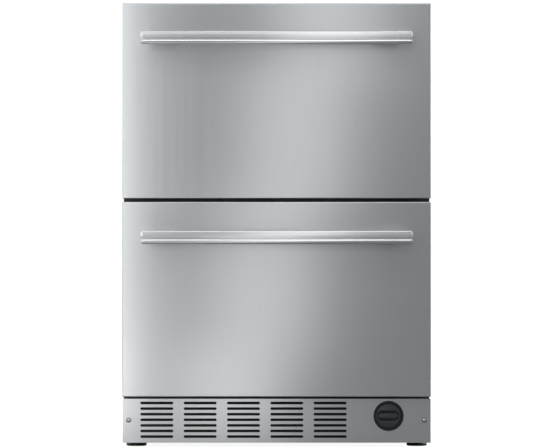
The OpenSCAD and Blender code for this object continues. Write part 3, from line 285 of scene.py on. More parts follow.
@dataclass(frozen=True)
class PaintedSheet:
    """Powder paint on sheet metal, with a slight orange peel and dusty patches."""

    name: str
    colour: Colour
    roughness: Span = (0.42, 0.56)
    peel: float = 900.0
    peel_height: float = 0.000012
    metallic: float = 0.0

    def make(self) -> Material:
        """Build the material.

        Returns:
            The finished material.
        """
        s = Shader(self.name).constant(Metallic=self.metallic, Specular_IOR_Level=0.5)
        peel = s.noise((self.peel,) * 3, detail=2.0)
        dust = s.noise((7.0, 7.0, 4.0), detail=5.0, roughness=0.6)
        s.drive("Base Color", s.blended(dust, shade(self.colour, 0.9), shade(self.colour, 1.14)))
        s.drive("Roughness", s.ranged(dust, *self.roughness))
        s.bumped((peel, self.peel_height))
        return s.material


@dataclass(frozen=True)
class MouldedPlastic:
    """Injection-moulded or vacuum-formed plastic with a fine grain."""

    name: str
    colour: Colour
    roughness: Span = (0.38, 0.5)
    grain: float = 2600.0
    grain_height: float = 0.000010
    coat: float = 0.0
    glow: float = 0.0

    def make(self) -> Material:
        """Build the material.

        Returns:
            The finished material.
        """
        s = Shader(self.name).constant(Metallic=0.0, Specular_IOR_Level=0.5, Coat_Weight=self.coat, Coat_Roughness=0.12)
        if self.glow:
            s.constant(Subsurface_Weight=self.glow, Subsurface_Scale=0.004)
        pebble = s.cells(self.grain)
        flow = s.noise((11.0, 11.0, 5.0), detail=3.0)
        s.drive("Base Color", s.blended(flow, shade(self.colour, 0.955), shade(self.colour, 1.03)))
        s.drive("Roughness", s.ranged(flow, *self.roughness))
        s.bumped((pebble.outputs["Distance"], self.grain_height), (flow, self.grain_height * 2))
        return s.material


@dataclass(frozen=True)
class Rubber:
    """Matt rubber or soft vinyl, with a little bloom on it."""

    name: str
    colour: Colour

    def make(self) -> Material:
        """Build the material.

        Returns:
            The finished material.
        """
        s = Shader(self.name).constant(Metallic=0.0, Specular_IOR_Level=0.35, Sheen_Weight=0.15, Sheen_Roughness=0.5)
        bloom = s.noise((30.0, 30.0, 30.0), detail=5.0, roughness=0.6)
        skin = s.noise((1800.0,) * 3, detail=1.0)
        s.drive("Base Color", s.blended(bloom, shade(self.colour, 0.8), shade(self.colour, 1.35)))
        s.drive("Roughness", s.ranged(bloom, 0.62, 0.78))
        s.bumped((skin, 0.00002))
        return s.material


@dataclass(frozen=True)
class CutFoam:
    """Rigid foam with its small cells open at the surface."""

    name: str
    colour: Colour = (0.82, 0.71, 0.44)

    def make(self) -> Material:
        """Build the material.

        Returns:
            The finished material.
        """
        s = Shader(self.name).constant(Metallic=0.0, Specular_IOR_Level=0.3)
        cell = s.cells(1100.0)
        tone = s.noise((14.0, 14.0, 14.0), detail=4.0)
        s.drive("Base Color", s.blended(tone, shade(self.colour, 0.86), shade(self.colour, 1.08)))
        s.drive("Roughness", s.ranged(tone, 0.8, 0.92))
        s.bumped((cell.outputs["Distance"], 0.00022))
        return s.material


@dataclass(frozen=True)
class Galvanised:
    """Zinc-dipped sheet with its spangle of crystals."""

    name: str
    colour: Colour = (0.60, 0.62, 0.63)

    def make(self) -> Material:
        """Build the material.

        Returns:
            The finished material.
        """
        s = Shader(self.name).constant(Metallic=1.0)
        crystal = s.cells(190.0).outputs["Color"]
        split = s.tree.nodes.new("ShaderNodeSeparateColor")
        s.tree.links.new(crystal, split.inputs["Color"])
        s.drive("Base Color", s.blended(split.outputs["Red"], shade(self.colour, 0.90), shade(self.colour, 1.07)))
        s.drive("Roughness", s.ranged(split.outputs["Green"], 0.42, 0.52, 0.0, 1.0))
        s.bumped((s.noise((260.0,) * 3, detail=2.0), 0.00002))
        return s.material


@dataclass(frozen=True)
class BareMetal:
    """Plated, drawn or cast metal, with slight stains and draw marks."""

    name: str
    colour: Colour
    stain: Colour
    roughness: Span = (0.24, 0.36)
    grain: Grain = Grain.ALONG_Y
    line: float = 0.0006

    def make(self) -> Material:
        """Build the material.

        Returns:
            The finished material.
        """
        s = Shader(self.name).constant(Metallic=1.0)
        scale = tuple(12.0 if along else 1.0 / self.line for along in self.grain.value)
        marks = s.noise(scale, detail=2.0)
        patch = s.noise((26.0, 26.0, 26.0), detail=4.0, roughness=0.6)
        s.drive("Base Color", s.blended(patch, self.stain, self.colour))
        s.drive("Roughness", s.ranged(patch, self.roughness[1], self.roughness[0]))
        s.bumped((marks, 0.000004))
        return s.material


@dataclass(frozen=True)
class FrostedLens:
    """Diffusing cover of a light, slightly see-through."""

    name: str

    def make(self) -> Material:
        """Build the material.

        Returns:
            The finished material.
        """
        s = Shader(self.name).constant(Metallic=0.0, IOR=1.49, Transmission_Weight=0.35)
        ribs = s.noise((900.0, 40.0, 40.0), detail=1.0)
        s.drive("Base Color", s.blended(ribs, (0.88, 0.89, 0.87), (0.96, 0.96, 0.94)))
        s.drive("Roughness", s.ranged(ribs, 0.3, 0.42))
        s.bumped((ribs, 0.00003))
        return s.material


@dataclass
class FinishBook:
    """All finishes of the refrigerator, made once and handed out by material slot."""

    made: dict[str, Material] = field(default_factory=dict)

    def build(self) -> None:
        """Make one material for each slot."""
        book = {
            "front_steel": BrushedSteel("front_steel_brushed_upright"),
            "handle_steel": BrushedSteel(
                "handle_steel_brushed_lengthwise", (0.71, 0.72, 0.725), Grain.ALONG_X, line=0.00035, length=0.05,
                roughness=(0.27, 0.33), contrast=0.02, depth=0.0000010,
            ),
            "grille_steel": BrushedSteel("grille_steel_brushed_upright"),
            "cabinet_paint": PaintedSheet("cabinet_dark_powder_paint", (0.052, 0.055, 0.058)),
            "dark_trim": PaintedSheet("mullion_dark_trim", (0.030, 0.031, 0.033), (0.34, 0.46)),
            "foam": CutFoam("rigid_foam"),
            "liner_plastic": MouldedPlastic(
                "liner_white_sheet", (0.83, 0.84, 0.835), (0.24, 0.34), 700.0, 0.000012, coat=0.15
            ),
            "galvanised": Galvanised("galvanised_spangle"),
            "bright_steel": BareMetal("zinc_plated_screws", (0.74, 0.75, 0.75), (0.58, 0.58, 0.55)),
            "slide_steel": BareMetal("zinc_plated_slides", (0.66, 0.68, 0.70), (0.55, 0.56, 0.56)),
            "bin_plastic": MouldedPlastic(
                "bin_light_grey", (0.70, 0.725, 0.735), (0.36, 0.46), 1500.0, 0.000018, glow=0.08
            ),
            "gasket_rubber": Rubber("gasket_vinyl", (0.085, 0.088, 0.092)),
            "black_plastic": MouldedPlastic("black_moulding", (0.008, 0.0085, 0.009), (0.34, 0.44)),
            "cap_plastic": MouldedPlastic("cap_charcoal_moulding", (0.040, 0.044, 0.047), (0.40, 0.52)),
            "dark_gloss": MouldedPlastic(
                "control_panel_gloss", (0.012, 0.012, 0.014), (0.10, 0.16), grain_height=0.000003, coat=0.6
            ),
            "white_plastic": MouldedPlastic("white_moulding", (0.78, 0.79, 0.78), (0.28, 0.38)),
            "black_paint": PaintedSheet("compressor_black_enamel", (0.017, 0.017, 0.018), (0.22, 0.32), 500.0),
            "black_rubber": Rubber("black_rubber", (0.020, 0.020, 0.021)),
            "motor_metal": PaintedSheet(
                "motor_cast_housing", (0.15, 0.16, 0.17), (0.45, 0.6), 600.0, 0.00003, metallic=0.4
            ),
            "copper": BareMetal("drawn_copper", (0.76, 0.40, 0.26), (0.42, 0.22, 0.15), (0.22, 0.4), Grain.ALONG_Z),
            "aluminium": BareMetal(
                "mill_finish_aluminium", (0.78, 0.79, 0.80), (0.66, 0.67, 0.68), (0.3, 0.42), Grain.ALONG_Z
            ),
            "lens": FrostedLens("frosted_light_lens"),
        }
        for slot, finish in book.items():
            self.made[slot] = finish.make()
            log.info("finish %s", slot)

    def wear(self, piece: Piece, slot: str) -> Piece:
        """Give a new piece the finish of a slot.

        Args:
            piece: The object to dress.
            slot: Name of the record's material slot.

        Returns:
            The dressed object.
        """
        piece.data.materials.clear()
        piece.data.materials.append(self.made[slot])
        return piece

    def dress_node(self, node: str, slot: str) -> None:
        """Put the finish of a slot on a node of the frame.

        Args:
            node: Name of the node.
            slot: Name of the record's material slot.
        """
        piece = NODES[node]
        if not piece.material_slots:
            piece.data.materials.append(None)
        for place in piece.material_slots:
            place.material = self.made[slot]


# ---------------------------------------------------------------- studio


@dataclass(frozen=True)
class LightStrip:
    """A column of small soft boxes, upright or leaning, with its strongest box at the foot."""

    foot_x: float
    head_x: float
    width: float
    foot_power: float
    power: float


@dataclass
class Studio:
    """Pale floor, white surroundings, soft lights and the camera of the photograph."""

    scale: float = 0.001944
    middle_px: float = 276.6
    top_px: float = 3.3
    eye_px: float = 224.0
    distance: float = 7.8
    frame_px: tuple[int, int] = (552, 448)
    sensor: float = 36.0
    floor_half: float = 30.0
    room: float = 0.4
    white: float = 1.05
    floor_glow: float = 0.93
    strip_y: float = -0.73
    strip_foot: float = 0.02
    strip_head: float = 0.90
    strip_boxes: int = 4
    strip_box_height: float = 0.30
    strips: dict[str, LightStrip] = field(
        default_factory=lambda: {
            "left_strip": LightStrip(foot_x=-0.42, head_x=-0.42, width=0.10, foot_power=0.63, power=0.44),
            "leaning_strip": LightStrip(foot_x=-0.10, head_x=0.11, width=0.20, foot_power=0.20, power=0.145),
        }
    )
    boxes: dict[str, tuple[Point, Point, Span, float]] = field(
        default_factory=lambda: {
            "high_box": ((0.0, -1.5, 1.9), (0.0, -0.27, 0.6), (1.8, 0.6), 8.6),
            "behind_box": ((0.0, 3.2, 0.42), (0.0, 0.3, 0.42), (1.7, 0.8), 17.0),
            "left_side_box": ((-3.0, 0.9, 1.5), (0.0, 0.1, 0.4), (2.0, 2.0), 45.0),
            "right_side_box": ((3.0, 0.9, 1.5), (0.0, 0.1, 0.4), (2.0, 2.0), 45.0),
        }
    )

    def camera(self) -> None:
        """Stand the camera square in front, at the height and distance of the photograph."""
        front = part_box("upper_front_skin")[0].y
        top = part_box("upper_front_skin")[1].z
        data = bpy.data.cameras.new("camera")
        data.sensor_width = self.sensor
        data.lens = self.sensor * self.distance / (self.frame_px[0] * self.scale)
        data.clip_end = 100.0
        eye = bpy.data.objects.new("camera", data)
        eye.location = (
            (self.frame_px[0] / 2 - self.middle_px) * self.scale,
            front - self.distance,
            top - (self.eye_px - self.top_px) * self.scale,
        )
        eye.rotation_euler = (math.radians(90), 0.0, 0.0)
        bpy.context.scene.collection.objects.link(eye)
        bpy.context.scene.camera = eye

    def floor(self) -> None:
        """Lay the plain pale floor, white to the eye and dimmer in what the steel mirrors."""
        h = self.floor_half
        piece = mesh_piece("studio_floor", [(-h, -h, 0), (h, -h, 0), (h, h, 0), (-h, h, 0)], [(0, 1, 2, 3)])
        s = Shader("floor_pale").constant(Metallic=0.0, Specular_IOR_Level=0.0, Emission_Color=(1, 1, 1, 1))
        tone = s.noise((3.0, 3.0, 3.0), detail=2.0)
        path = s.tree.nodes.new("ShaderNodeLightPath")
        s.drive("Emission Strength", s.ranged(path.outputs["Is Camera Ray"], 0.0, self.floor_glow, 0.0, 1.0))
        s.drive("Base Color", s.blended(tone, (0.27, 0.27, 0.27), (0.29, 0.29, 0.29)))
        s.drive("Roughness", s.ranged(tone, 0.8, 0.9))
        piece.data.materials.append(s.material)

    def surroundings(self) -> None:
        """White behind the refrigerator, and a dimmer room for what its steel reflects."""
        world = bpy.data.worlds.new("white_studio")
        world.use_nodes = True
        tree = world.node_tree
        tree.nodes.clear()
        out = tree.nodes.new("ShaderNodeOutputWorld")
        mix = tree.nodes.new("ShaderNodeMixShader")
        path = tree.nodes.new("ShaderNodeLightPath")
        tree.links.new(path.outputs["Is Camera Ray"], mix.inputs["Fac"])
        for way, (colour, strength) in enumerate((((0.96, 0.98, 1.0, 1), self.room), ((1, 1, 1, 1), self.white)), 1):
            glow = tree.nodes.new("ShaderNodeBackground")
            glow.inputs["Color"].default_value = colour
            glow.inputs["Strength"].default_value = strength
            tree.links.new(glow.outputs["Background"], mix.inputs[way])
        tree.links.new(mix.outputs["Shader"], out.inputs["Surface"])
        bpy.context.scene.world = world
        bpy.context.scene.view_settings.view_transform = "Standard"

    def soft_light(self, name: str, place: Point, aim: Point, size: Span, power: float) -> None:
        """Hang one soft box.

        Args:
            name: The light's name.
            place: Where its middle is.
            aim: The point it faces.
            size: Its width and height.
            power: Its power in watts.
        """
        data = bpy.data.lights.new(name, "AREA")
        data.shape = "RECTANGLE"
        data.size, data.size_y = size
        data.energy = power
        lamp = bpy.data.objects.new(name, data)
        towards = (Vector(aim) - Vector(place)).to_track_quat("-Z", "Y").to_matrix().to_4x4()
        lamp.matrix_world = Matrix.Translation(place) @ towards
        lamp.visible_camera = False
        bpy.context.scene.collection.objects.link(lamp)

    def lights(self) -> None:
        """Hang the two strips of small soft boxes in front, then the large ones round the refrigerator."""
        for name, strip in self.strips.items():
            size = (strip.width, self.strip_box_height)
            for row in range(self.strip_boxes):
                rise = row / (self.strip_boxes - 1)
                x = strip.foot_x + rise * (strip.head_x - strip.foot_x)
                z = self.strip_foot + rise * (self.strip_head - self.strip_foot)
                power = strip.power if row else strip.foot_power
                self.soft_light(f"{name}_{row}", (x, self.strip_y, z), (x, 0.0, z), size, power)
        for name, box in self.boxes.items():
            self.soft_light(name, *box)

    def build(self) -> None:
        """Set up the whole studio."""
        self.camera()
        self.floor()
        self.surroundings()
        self.lights()


# ---------------------------------------------------------------- shared mesh work


def mesh_piece(name: str, points: list[Point], faces: list[tuple[int, ...]]) -> Piece:
    """Make an object from points and faces.

    Args:
        name: The piece's name.
        points: Corners in metres.
        faces: Corner numbers of each face.

    Returns:
        The new object, linked to the scene.
    """
    mesh = bpy.data.meshes.new(name)
    mesh.from_pydata(points, [], faces)
    mesh.update()
    piece = bpy.data.objects.new(name, mesh)
    bpy.context.scene.collection.objects.link(piece)
    return piece


def loft(name: str, rings: list[Ring], closed_ends: bool = True, smooth: bool = True) -> Piece:
    """Skin a row of equal rings into one closed shell.

    Args:
        name: The piece's name.
        rings: Rings of points, all with the same count.
        closed_ends: Whether the first and last ring are capped.
        smooth: Whether faces are shaded smooth by angle.

    Returns:
        The new object.
    """
    n = len(rings[0])
    points = [p for ring in rings for p in ring]
    faces = [
        (r * n + i, r * n + (i + 1) % n, (r + 1) * n + (i + 1) % n, (r + 1) * n + i)
        for r in range(len(rings) - 1) for i in range(n)
    ]
    if closed_ends:
        faces += [tuple(range(n - 1, -1, -1)), tuple((len(rings) - 1) * n + i for i in range(n))]
    piece = mesh_piece(name, points, faces)
    outward(piece, SMOOTH_BELOW if smooth else 0.0)
    return piece


def outward(piece: Piece, smooth_below: float) -> None:
    """Turn a shell's faces outwards and shade it smooth below an angle.

    Args:
        piece: The object.
        smooth_below: Angle in degrees, or 0 for flat faces.
    """
    form = bmesh.new()
    form.from_mesh(piece.data)
    bmesh.ops.recalc_face_normals(form, faces=form.faces)
    form.to_mesh(piece.data)
    form.free()
    if smooth_below:
        piece.data.shade_smooth()
        piece.data.set_sharp_from_angle(angle=math.radians(smooth_below))


def softened(node: str, name: str, width: float, segments: int, above: float = 40.0) -> Piece:
    """Copy a node's mesh with its triangles joined and its hard edges eased.

    Args:
        node: The node that the copy takes the place of.
        name: The piece's name.
        width: Width of the eased edge in metres.
        segments: Faces across an eased edge.
        above: Angle in degrees above which an edge counts as hard.

    Returns:
        The new object, riding as the node does and replacing it.
    """
    form = bmesh.new()
    form.from_mesh(NODES[node].data)
    bmesh.ops.remove_doubles(form, verts=form.verts, dist=2e-6)
    bmesh.ops.dissolve_limit(form, angle_limit=math.radians(0.6), verts=form.verts, edges=form.edges)
    hard = [e for e in form.edges if len(e.link_faces) == 2 and e.calc_face_angle(0.0) > math.radians(above)]
    bmesh.ops.bevel(form, geom=hard, offset=width, segments=segments, profile=0.5, affect="EDGES", clamp_overlap=True)
    mesh = bpy.data.meshes.new(name)
    form.to_mesh(mesh)
    form.free()
    piece = bpy.data.objects.new(name, mesh)
    bpy.context.scene.collection.objects.link(piece)
    mesh.shade_smooth()
    mesh.set_sharp_from_angle(angle=math.radians(above))
    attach(piece, BODY_OF[node])
    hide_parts(node)
    return piece


def disc_rings(profile: Outline, around: int) -> list[Ring]:
    """Rings of a turned shape whose axis is the Y axis.

    Args:
        profile: Pairs of radius and Y.
        around: Points on each ring.

    Returns:
        One ring for each pair.
    """
    turns = [2 * math.pi * k / around for k in range(around)]
    return [[(r * math.cos(t), y, r * math.sin(t)) for t in turns] for r, y in profile]


class Pattern:
    """One Geometry Nodes tree with named sizes, which turns a small item into a plain mesh of many."""

    def __init__(self, name: str) -> None:
        """Start a tree that takes and gives geometry.

        Args:
            name: The tree's name.
        """
        self.tree = bpy.data.node_groups.new(name, "GeometryNodeTree")
        face = self.tree.interface
        face.new_socket("Geometry", in_out="INPUT", socket_type="NodeSocketGeometry")
        face.new_socket("Geometry", in_out="OUTPUT", socket_type="NodeSocketGeometry")
        self.keys: dict[str, str] = {}
        self.source = self.tree.nodes.new("NodeGroupInput")
        self.result = self.tree.nodes.new("NodeGroupOutput")
        self.finish = self.size("Finish", "Material")

    def size(self, name: str, kind: str = "Float") -> Socket:
        """Add a named input.

        Args:
            name: The input's name.
            kind: Its kind, such as Float, Int, Vector or Material.

        Returns:
            The socket inside the tree that carries it.
        """
        socket = self.tree.interface.new_socket(name, in_out="INPUT", socket_type=f"NodeSocket{kind}")
        self.keys[name] = socket.identifier
        return self.source.outputs[name]

    def node(self, kind: str, *wires: object, mode: str = "") -> bpy.types.Node:
        """Add a node and feed its inputs in order.

        Args:
            kind: The node's type.
            *wires: A socket, a constant or None for each input in turn.
            mode: Operation or mode of the node, where it has one.

        Returns:
            The node.
        """
        made = self.tree.nodes.new(kind)
        if mode and hasattr(made, "operation"):
            made.operation = mode
        elif mode:
            made.mode = mode
        for socket, wire in zip(made.inputs, wires):
            if isinstance(wire, Socket):
                self.tree.links.new(wire, socket)
            elif wire is not None:
                socket.default_value = wire
        return made

    def math(self, mode: str, left: object, right: object = None) -> Socket:
        """Result of one sum in the tree."""
        return self.node("ShaderNodeMath", left, right, mode=mode).outputs[0]

    def vector(self, x: object, y: object, z: object) -> Socket:
        """Vector put together from three numbers."""
        return self.node("ShaderNodeCombineXYZ", x, y, z).outputs[0]

    def close(self, geometry: Socket) -> "Pattern":
        """End the tree in Realize Instances and Set Material.

        Args:
            geometry: The geometry socket to hand on.

        Returns:
            The pattern itself.
        """
        real = self.node("GeometryNodeRealizeInstances", geometry)
        dressed = self.tree.nodes.new("GeometryNodeSetMaterial")
        self.tree.links.new(real.outputs[0], dressed.inputs["Geometry"])
        self.tree.links.new(self.finish, dressed.inputs["Material"])
        self.tree.links.new(dressed.outputs[0], self.result.inputs[0])
        return self

    def make(self, name: str, item: Piece, material: Material, **sizes: float | int | Point) -> Piece:
        """Run the tree on an item and keep the outcome as a plain mesh.

        Args:
            name: The piece's name.
            item: The object that holds one item at its own origin; it becomes the piece.
            material: Material of the outcome.
            **sizes: Values of the named inputs.

        Returns:
            The finished piece.
        """
        live = item.modifiers.new("pattern", "NODES")
        live.node_group = self.tree
        live[self.keys["Finish"]] = material
        for key, value in sizes.items():
            live[self.keys[key]] = value
        bpy.context.view_layer.update()
        ready = item.evaluated_get(bpy.context.evaluated_depsgraph_get())
        mesh = bpy.data.meshes.new_from_object(ready)
        item.modifiers.remove(live)
        item.data = mesh
        item.name = mesh.name = name
        return item


def grid_pattern() -> Pattern:
    """Pattern that repeats an item in columns along X and rows along Z, or along Y.

    Returns:
        The pattern, with inputs Columns, Rows, Across, Along, Up and First.
    """
    p = Pattern("columns_and_rows")
    columns, rows = p.size("Columns", "Int"), p.size("Rows", "Int")
    across, along, up = p.size("Across"), p.size("Along"), p.size("Up")
    first = p.size("First", "Vector")
    index = p.node("GeometryNodeInputIndex").outputs[0]
    column = p.math("MODULO", index, columns)
    row = p.math("FLOOR", p.math("DIVIDE", index, columns))
    step = p.vector(p.math("MULTIPLY", column, across), p.math("MULTIPLY", row, along), p.math("MULTIPLY", row, up))
    place = p.node("ShaderNodeVectorMath", step, first, mode="ADD").outputs[0]
    points = p.node("GeometryNodePoints", p.math("MULTIPLY", columns, rows), place)
    many = p.node("GeometryNodeInstanceOnPoints", points.outputs[0], None, p.source.outputs["Geometry"])
    return p.close(many.outputs[0])


def ring_pattern() -> Pattern:
    """Pattern that repeats an item round an axis along Y or Z.

    Returns:
        The pattern, with inputs Count, Radius, Upright and Centre; Upright is 1 for an axis along Z.
    """
    p = Pattern("round_an_axis")
    count, radius, upright = p.size("Count", "Int"), p.size("Radius"), p.size("Upright")
    centre = p.size("Centre", "Vector")
    turn = p.math("DIVIDE", p.math("MULTIPLY", p.node("GeometryNodeInputIndex").outputs[0], math.tau), count)
    out, side = (p.math("MULTIPLY", p.math(m, turn), radius) for m in ("COSINE", "SINE"))
    flat = p.math("SUBTRACT", 1.0, upright)
    spot = p.vector(out, p.math("MULTIPLY", side, upright), p.math("MULTIPLY", side, flat))
    place = p.node("ShaderNodeVectorMath", spot, centre, mode="ADD").outputs[0]
    swing = p.vector(0.0, p.math("MULTIPLY", p.math("MULTIPLY", turn, flat), -1.0), p.math("MULTIPLY", turn, upright))
    points = p.node("GeometryNodePoints", count, place)
    many = p.node("GeometryNodeInstanceOnPoints", points.outputs[0], None, p.source.outputs["Geometry"])
    p.tree.links.new(p.node("FunctionNodeEulerToRotation", swing).outputs[0], many.inputs["Rotation"])
    return p.close(many.outputs[0])


def thread_pattern() -> Pattern:
    """Pattern of a screw thread on a pipe end along Y.

    Returns:
        The pattern, with inputs Turns, Radius, Length, Ridge and Start.
    """
    p = Pattern("pipe_thread")
    turns, radius, length = p.size("Turns"), p.size("Radius"), p.size("Length")
    ridge, start = p.size("Ridge"), p.size("Start", "Vector")
    coil = p.node("GeometryNodeCurveSpiral", 40, turns, radius, radius, length)
    crest = p.node("GeometryNodeCurvePrimitiveCircle", mode="RADIUS")
    crest.inputs["Resolution"].default_value = 6
    p.tree.links.new(ridge, crest.inputs["Radius"])
    body = p.node("GeometryNodeCurveToMesh", coil.outputs[0], crest.outputs[0])
    body.inputs["Fill Caps"].default_value = True
    laid = p.tree.nodes.new("GeometryNodeTransform")
    laid.inputs["Rotation"].default_value = (-math.pi / 2, 0.0, 0.0)
    p.tree.links.new(body.outputs[0], laid.inputs["Geometry"])
    p.tree.links.new(start, laid.inputs["Translation"])
    return p.close(laid.outputs[0])


# ---------------------------------------------------------------- sub-assemblies


class Side(Enum):
    """One of the two drawers."""

    LOWER = "lower"
    UPPER = "upper"

    def of(self, part: str) -> str:
        """Name of one of this drawer's nodes."""
        return f"{self.value}_{part}"


@dataclass
class SubAssembly:
    """Nodes that belong together, with the pieces that are made on them."""

    book: FinishBook

    def nodes(self) -> list[str]:
        """Names of the sub-assembly's nodes."""
        return []

    def build(self) -> None:
        """Make the pieces; a plain sub-assembly has none."""

    def dress(self) -> None:
        """Put the finishes on the nodes that keep their own solids."""
        for node in self.nodes():
            self.book.dress_node(node, SLOTS[node])
            log.info("dressed %s in %s", node, SLOTS[node])

    def add(self, piece: Piece, body: str, slot: str) -> Piece:
        """Finish a new piece and let it ride.

        Args:
            piece: The piece.
            body: The body that carries it.
            slot: Its material slot.

        Returns:
            The piece.
        """
        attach(piece, body)
        self.book.wear(piece, slot)
        log.info("piece %s on %s", piece.name, body)
        return piece

    def ease(self, node: str, name: str, width: float, segments: int) -> Piece:
        """Replace a node by a copy with eased edges in the node's own finish."""
        return self.book.wear(softened(node, name, width, segments), SLOTS[node])

    def repeat(
        self, pattern: Callable[[], Pattern], name: str, item: Piece, body: str, slot: str,
        **sizes: float | int | Point,
    ) -> Piece:
        """Repeat an item by a pattern and finish the outcome.

        Args:
            pattern: Maker of the pattern.
            name: The piece's name.
            item: The item at its own origin.
            body: The body that carries the piece.
            slot: Its material slot.
            **sizes: The pattern's sizes.

        Returns:
            The piece.
        """
        return self.add(pattern().make(name, item, self.book.made[slot], **sizes), body, slot)


@dataclass
class HandleBar(SubAssembly):
    """Full-width bar, a slab over a round bead, on two standoffs."""

    side: Side = Side.UPPER
    crown: float = 0.0011
    corner: float = 0.0030
    bead: float = 0.0057
    groove: float = 0.0030
    groove_rise: float = 0.0012
    underside: float = 0.0017
    bead_back: float = 0.0102
    back_ease: float = 0.0030
    slab_ease: float = 0.0008
    end_ease: float = 0.0022
    end_support: Span = (0.0004, 0.002)
    post_ease: float = 0.0012

    def nodes(self) -> list[str]:
        """Names of the sub-assembly's nodes."""
        return [self.side.of("handle_bar"), self.side.of("handle_posts")]

    def section(self, low: Vector, high: Vector) -> Outline:
        """Outline of the bar in Y and Z, from the bead round the front to the back.

        Args:
            low: Lowest corner of the bar.
            high: Highest corner.

        Returns:
            Pairs of Y and Z.
        """
        y0, y1, z0, z1 = low.y, high.y, low.z, high.z
        r, c, back = self.bead, self.corner, self.back_ease
        groove_z = z0 + 2 * r + self.groove_rise
        slab_z = groove_z + self.groove_rise
        under = z0 + self.underside
        line = [(y1, under + back), (y1 - back, under), (y0 + self.bead_back, under)]
        round_bead = [math.radians(k) for k in range(-70, 61, 10)]
        line += [(y0 + r - r * math.cos(t), z0 + r + r * math.sin(t)) for t in round_bead]
        line += [(y0 + self.groove, groove_z), (y0 + self.groove, slab_z - 0.0003), (y0 + 0.0012, slab_z)]
        start, face = slab_z + self.slab_ease, z1 - c - slab_z - self.slab_ease
        line += [(y0 + self.crown * (t * t) + 0.00005, start + face * t) for t in (0.0, 0.2, 0.4, 0.6, 0.8, 1.0)]
        lean = y0 + self.crown
        over_corner = [math.radians(k) for k in range(15, 91, 15)]
        line += [(lean + c * (1 - math.cos(t)), z1 - c + c * math.sin(t)) for t in over_corner]
        line += [(y1 - back, z1), (y1 - 0.0009, z1 - 0.0009), (y1, z1 - back)]
        return line

    def build(self) -> None:
        """Make the bar with its eased ends, and the softened standoffs."""
        node = self.side.of("handle_bar")
        low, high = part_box(node)
        outline = self.section(low, high)
        mid = ((low.y + high.y) / 2, (low.z + high.z) / 2)
        reach = (high.y - low.y, high.z - low.z)
        rings: list[Ring] = []
        for step in (90, 60, 30, 0):
            t = math.radians(step)
            inset = self.end_ease * (1 - math.cos(t))
            x = high.x - self.end_ease * (1 - math.sin(t))
            ky, kz = 1 - 2 * inset / reach[0], 1 - 2 * inset / reach[1]
            rings.append([(x, mid[0] + (y - mid[0]) * ky, mid[1] + (z - mid[1]) * kz) for y, z in outline])
        for inward in self.end_support:
            rings.append([(high.x - self.end_ease - inward, y, z) for y, z in outline])
        mirrored = [[(-x, y, z) for x, y, z in ring] for ring in rings]
        piece = loft(f"{node}_finished", rings + mirrored[::-1])
        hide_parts(node)
        self.add(piece, BODY_OF[node], SLOTS[node])
        self.ease(self.side.of("handle_posts"), self.side.of("handle_posts_finished"), self.post_ease, 3)


@dataclass
class DrawerFront(SubAssembly):
    """Folded steel skin over foam, with its inner panel and gasket."""

    side: Side = Side.UPPER

    def nodes(self) -> list[str]:
        """Names of the sub-assembly's nodes."""
        return [self.side.of(part) for part in ("front_skin", "front_core", "inner_panel", "gasket")]


@dataclass
class StorageBin(SubAssembly):
    """Moulded bin with its divider."""

    side: Side = Side.UPPER
    rib: Point = (0.0012, 0.0016, 0.055)
    ribs: int = 9
    rib_end_in: float = 0.06
    rib_wall_in: float = 0.0061
    rib_drop: float = 0.082

    def nodes(self) -> list[str]:
        """Names of the sub-assembly's nodes."""
        return [self.side.of("bin"), self.side.of("divider")]

    def build(self) -> None:
        """Set stiffening ribs on the bin's back wall."""
        holder = self.side.of("bin")
        low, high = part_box(holder)
        w, d, h = self.rib
        foot = [(-w, 0, 0), (w, 0, 0), (w * 0.4, d, 0), (-w * 0.4, d, 0)]
        item = loft("rib", [foot, [(x, y, h) for x, y, _ in foot], [(x * 0.5, 0.0, h + 0.003) for x, _, _ in foot]])
        span = (high.x - low.x) - 2 * self.rib_end_in
        self.repeat(
            grid_pattern, self.side.of("bin_back_ribs"), item, BODY_OF[holder], SLOTS[holder], Columns=self.ribs,
            Rows=1, Across=span / (self.ribs - 1),
            First=(-span / 2, high.y - self.rib_wall_in, high.z - self.rib_drop),
        )


@dataclass
class Slides(SubAssembly):
    """Three-member ball slides on both sides of one drawer."""

    side: Side = Side.UPPER
    head: float = 0.0036
    head_height: float = 0.0010
    sheet: float = 0.0012
    thickness: float = 0.013
    holes: tuple[float, ...] = (0.08, 0.5, 0.92)

    def nodes(self) -> list[str]:
        """Names of the sub-assembly's nodes."""
        return [self.side.of(part) for part in ("cabinet_rails", "middle_rails", "drawer_rails")]

    def screw(self, facing: int) -> Piece:
        """One low screw head whose axis runs along X.

        Args:
            facing: 1 for a head towards +X, -1 towards -X.

        Returns:
            The item at its own origin.
        """
        r, h = self.head, self.head_height
        profile = [(r * 0.99, 0.0), (r, h * 0.35), (r * 0.8, h * 0.9), (r * 0.5, h), (r * 0.42, h), (r * 0.3, h * 0.35)]
        return loft("slide_screw", [[(y * facing, x, z) for x, y, z in ring] for ring in disc_rings(profile, 20)])

    def build(self) -> None:
        """Set the screws that hold the cabinet's and the drawer's members."""
        low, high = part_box(self.side.of("cabinet_rails"))
        length = high.y - low.y
        z = (low.z + high.z) / 2
        first, pitch = low.y + self.holes[0] * length, (self.holes[1] - self.holes[0]) * length
        inner = self.thickness - self.sheet
        for part, depth, turned in (("cabinet_rails", self.sheet, -1), ("drawer_rails", inner, 1)):
            node = self.side.of(part)
            for label, sign in (("left", -1), ("right", 1)):
                self.repeat(
                    grid_pattern, f"{node}_{label}_screws", self.screw(turned * sign), BODY_OF[node], "bright_steel",
                    Columns=1, Rows=len(self.holes), Along=pitch, First=(sign * (high.x - depth), first, z),
                )


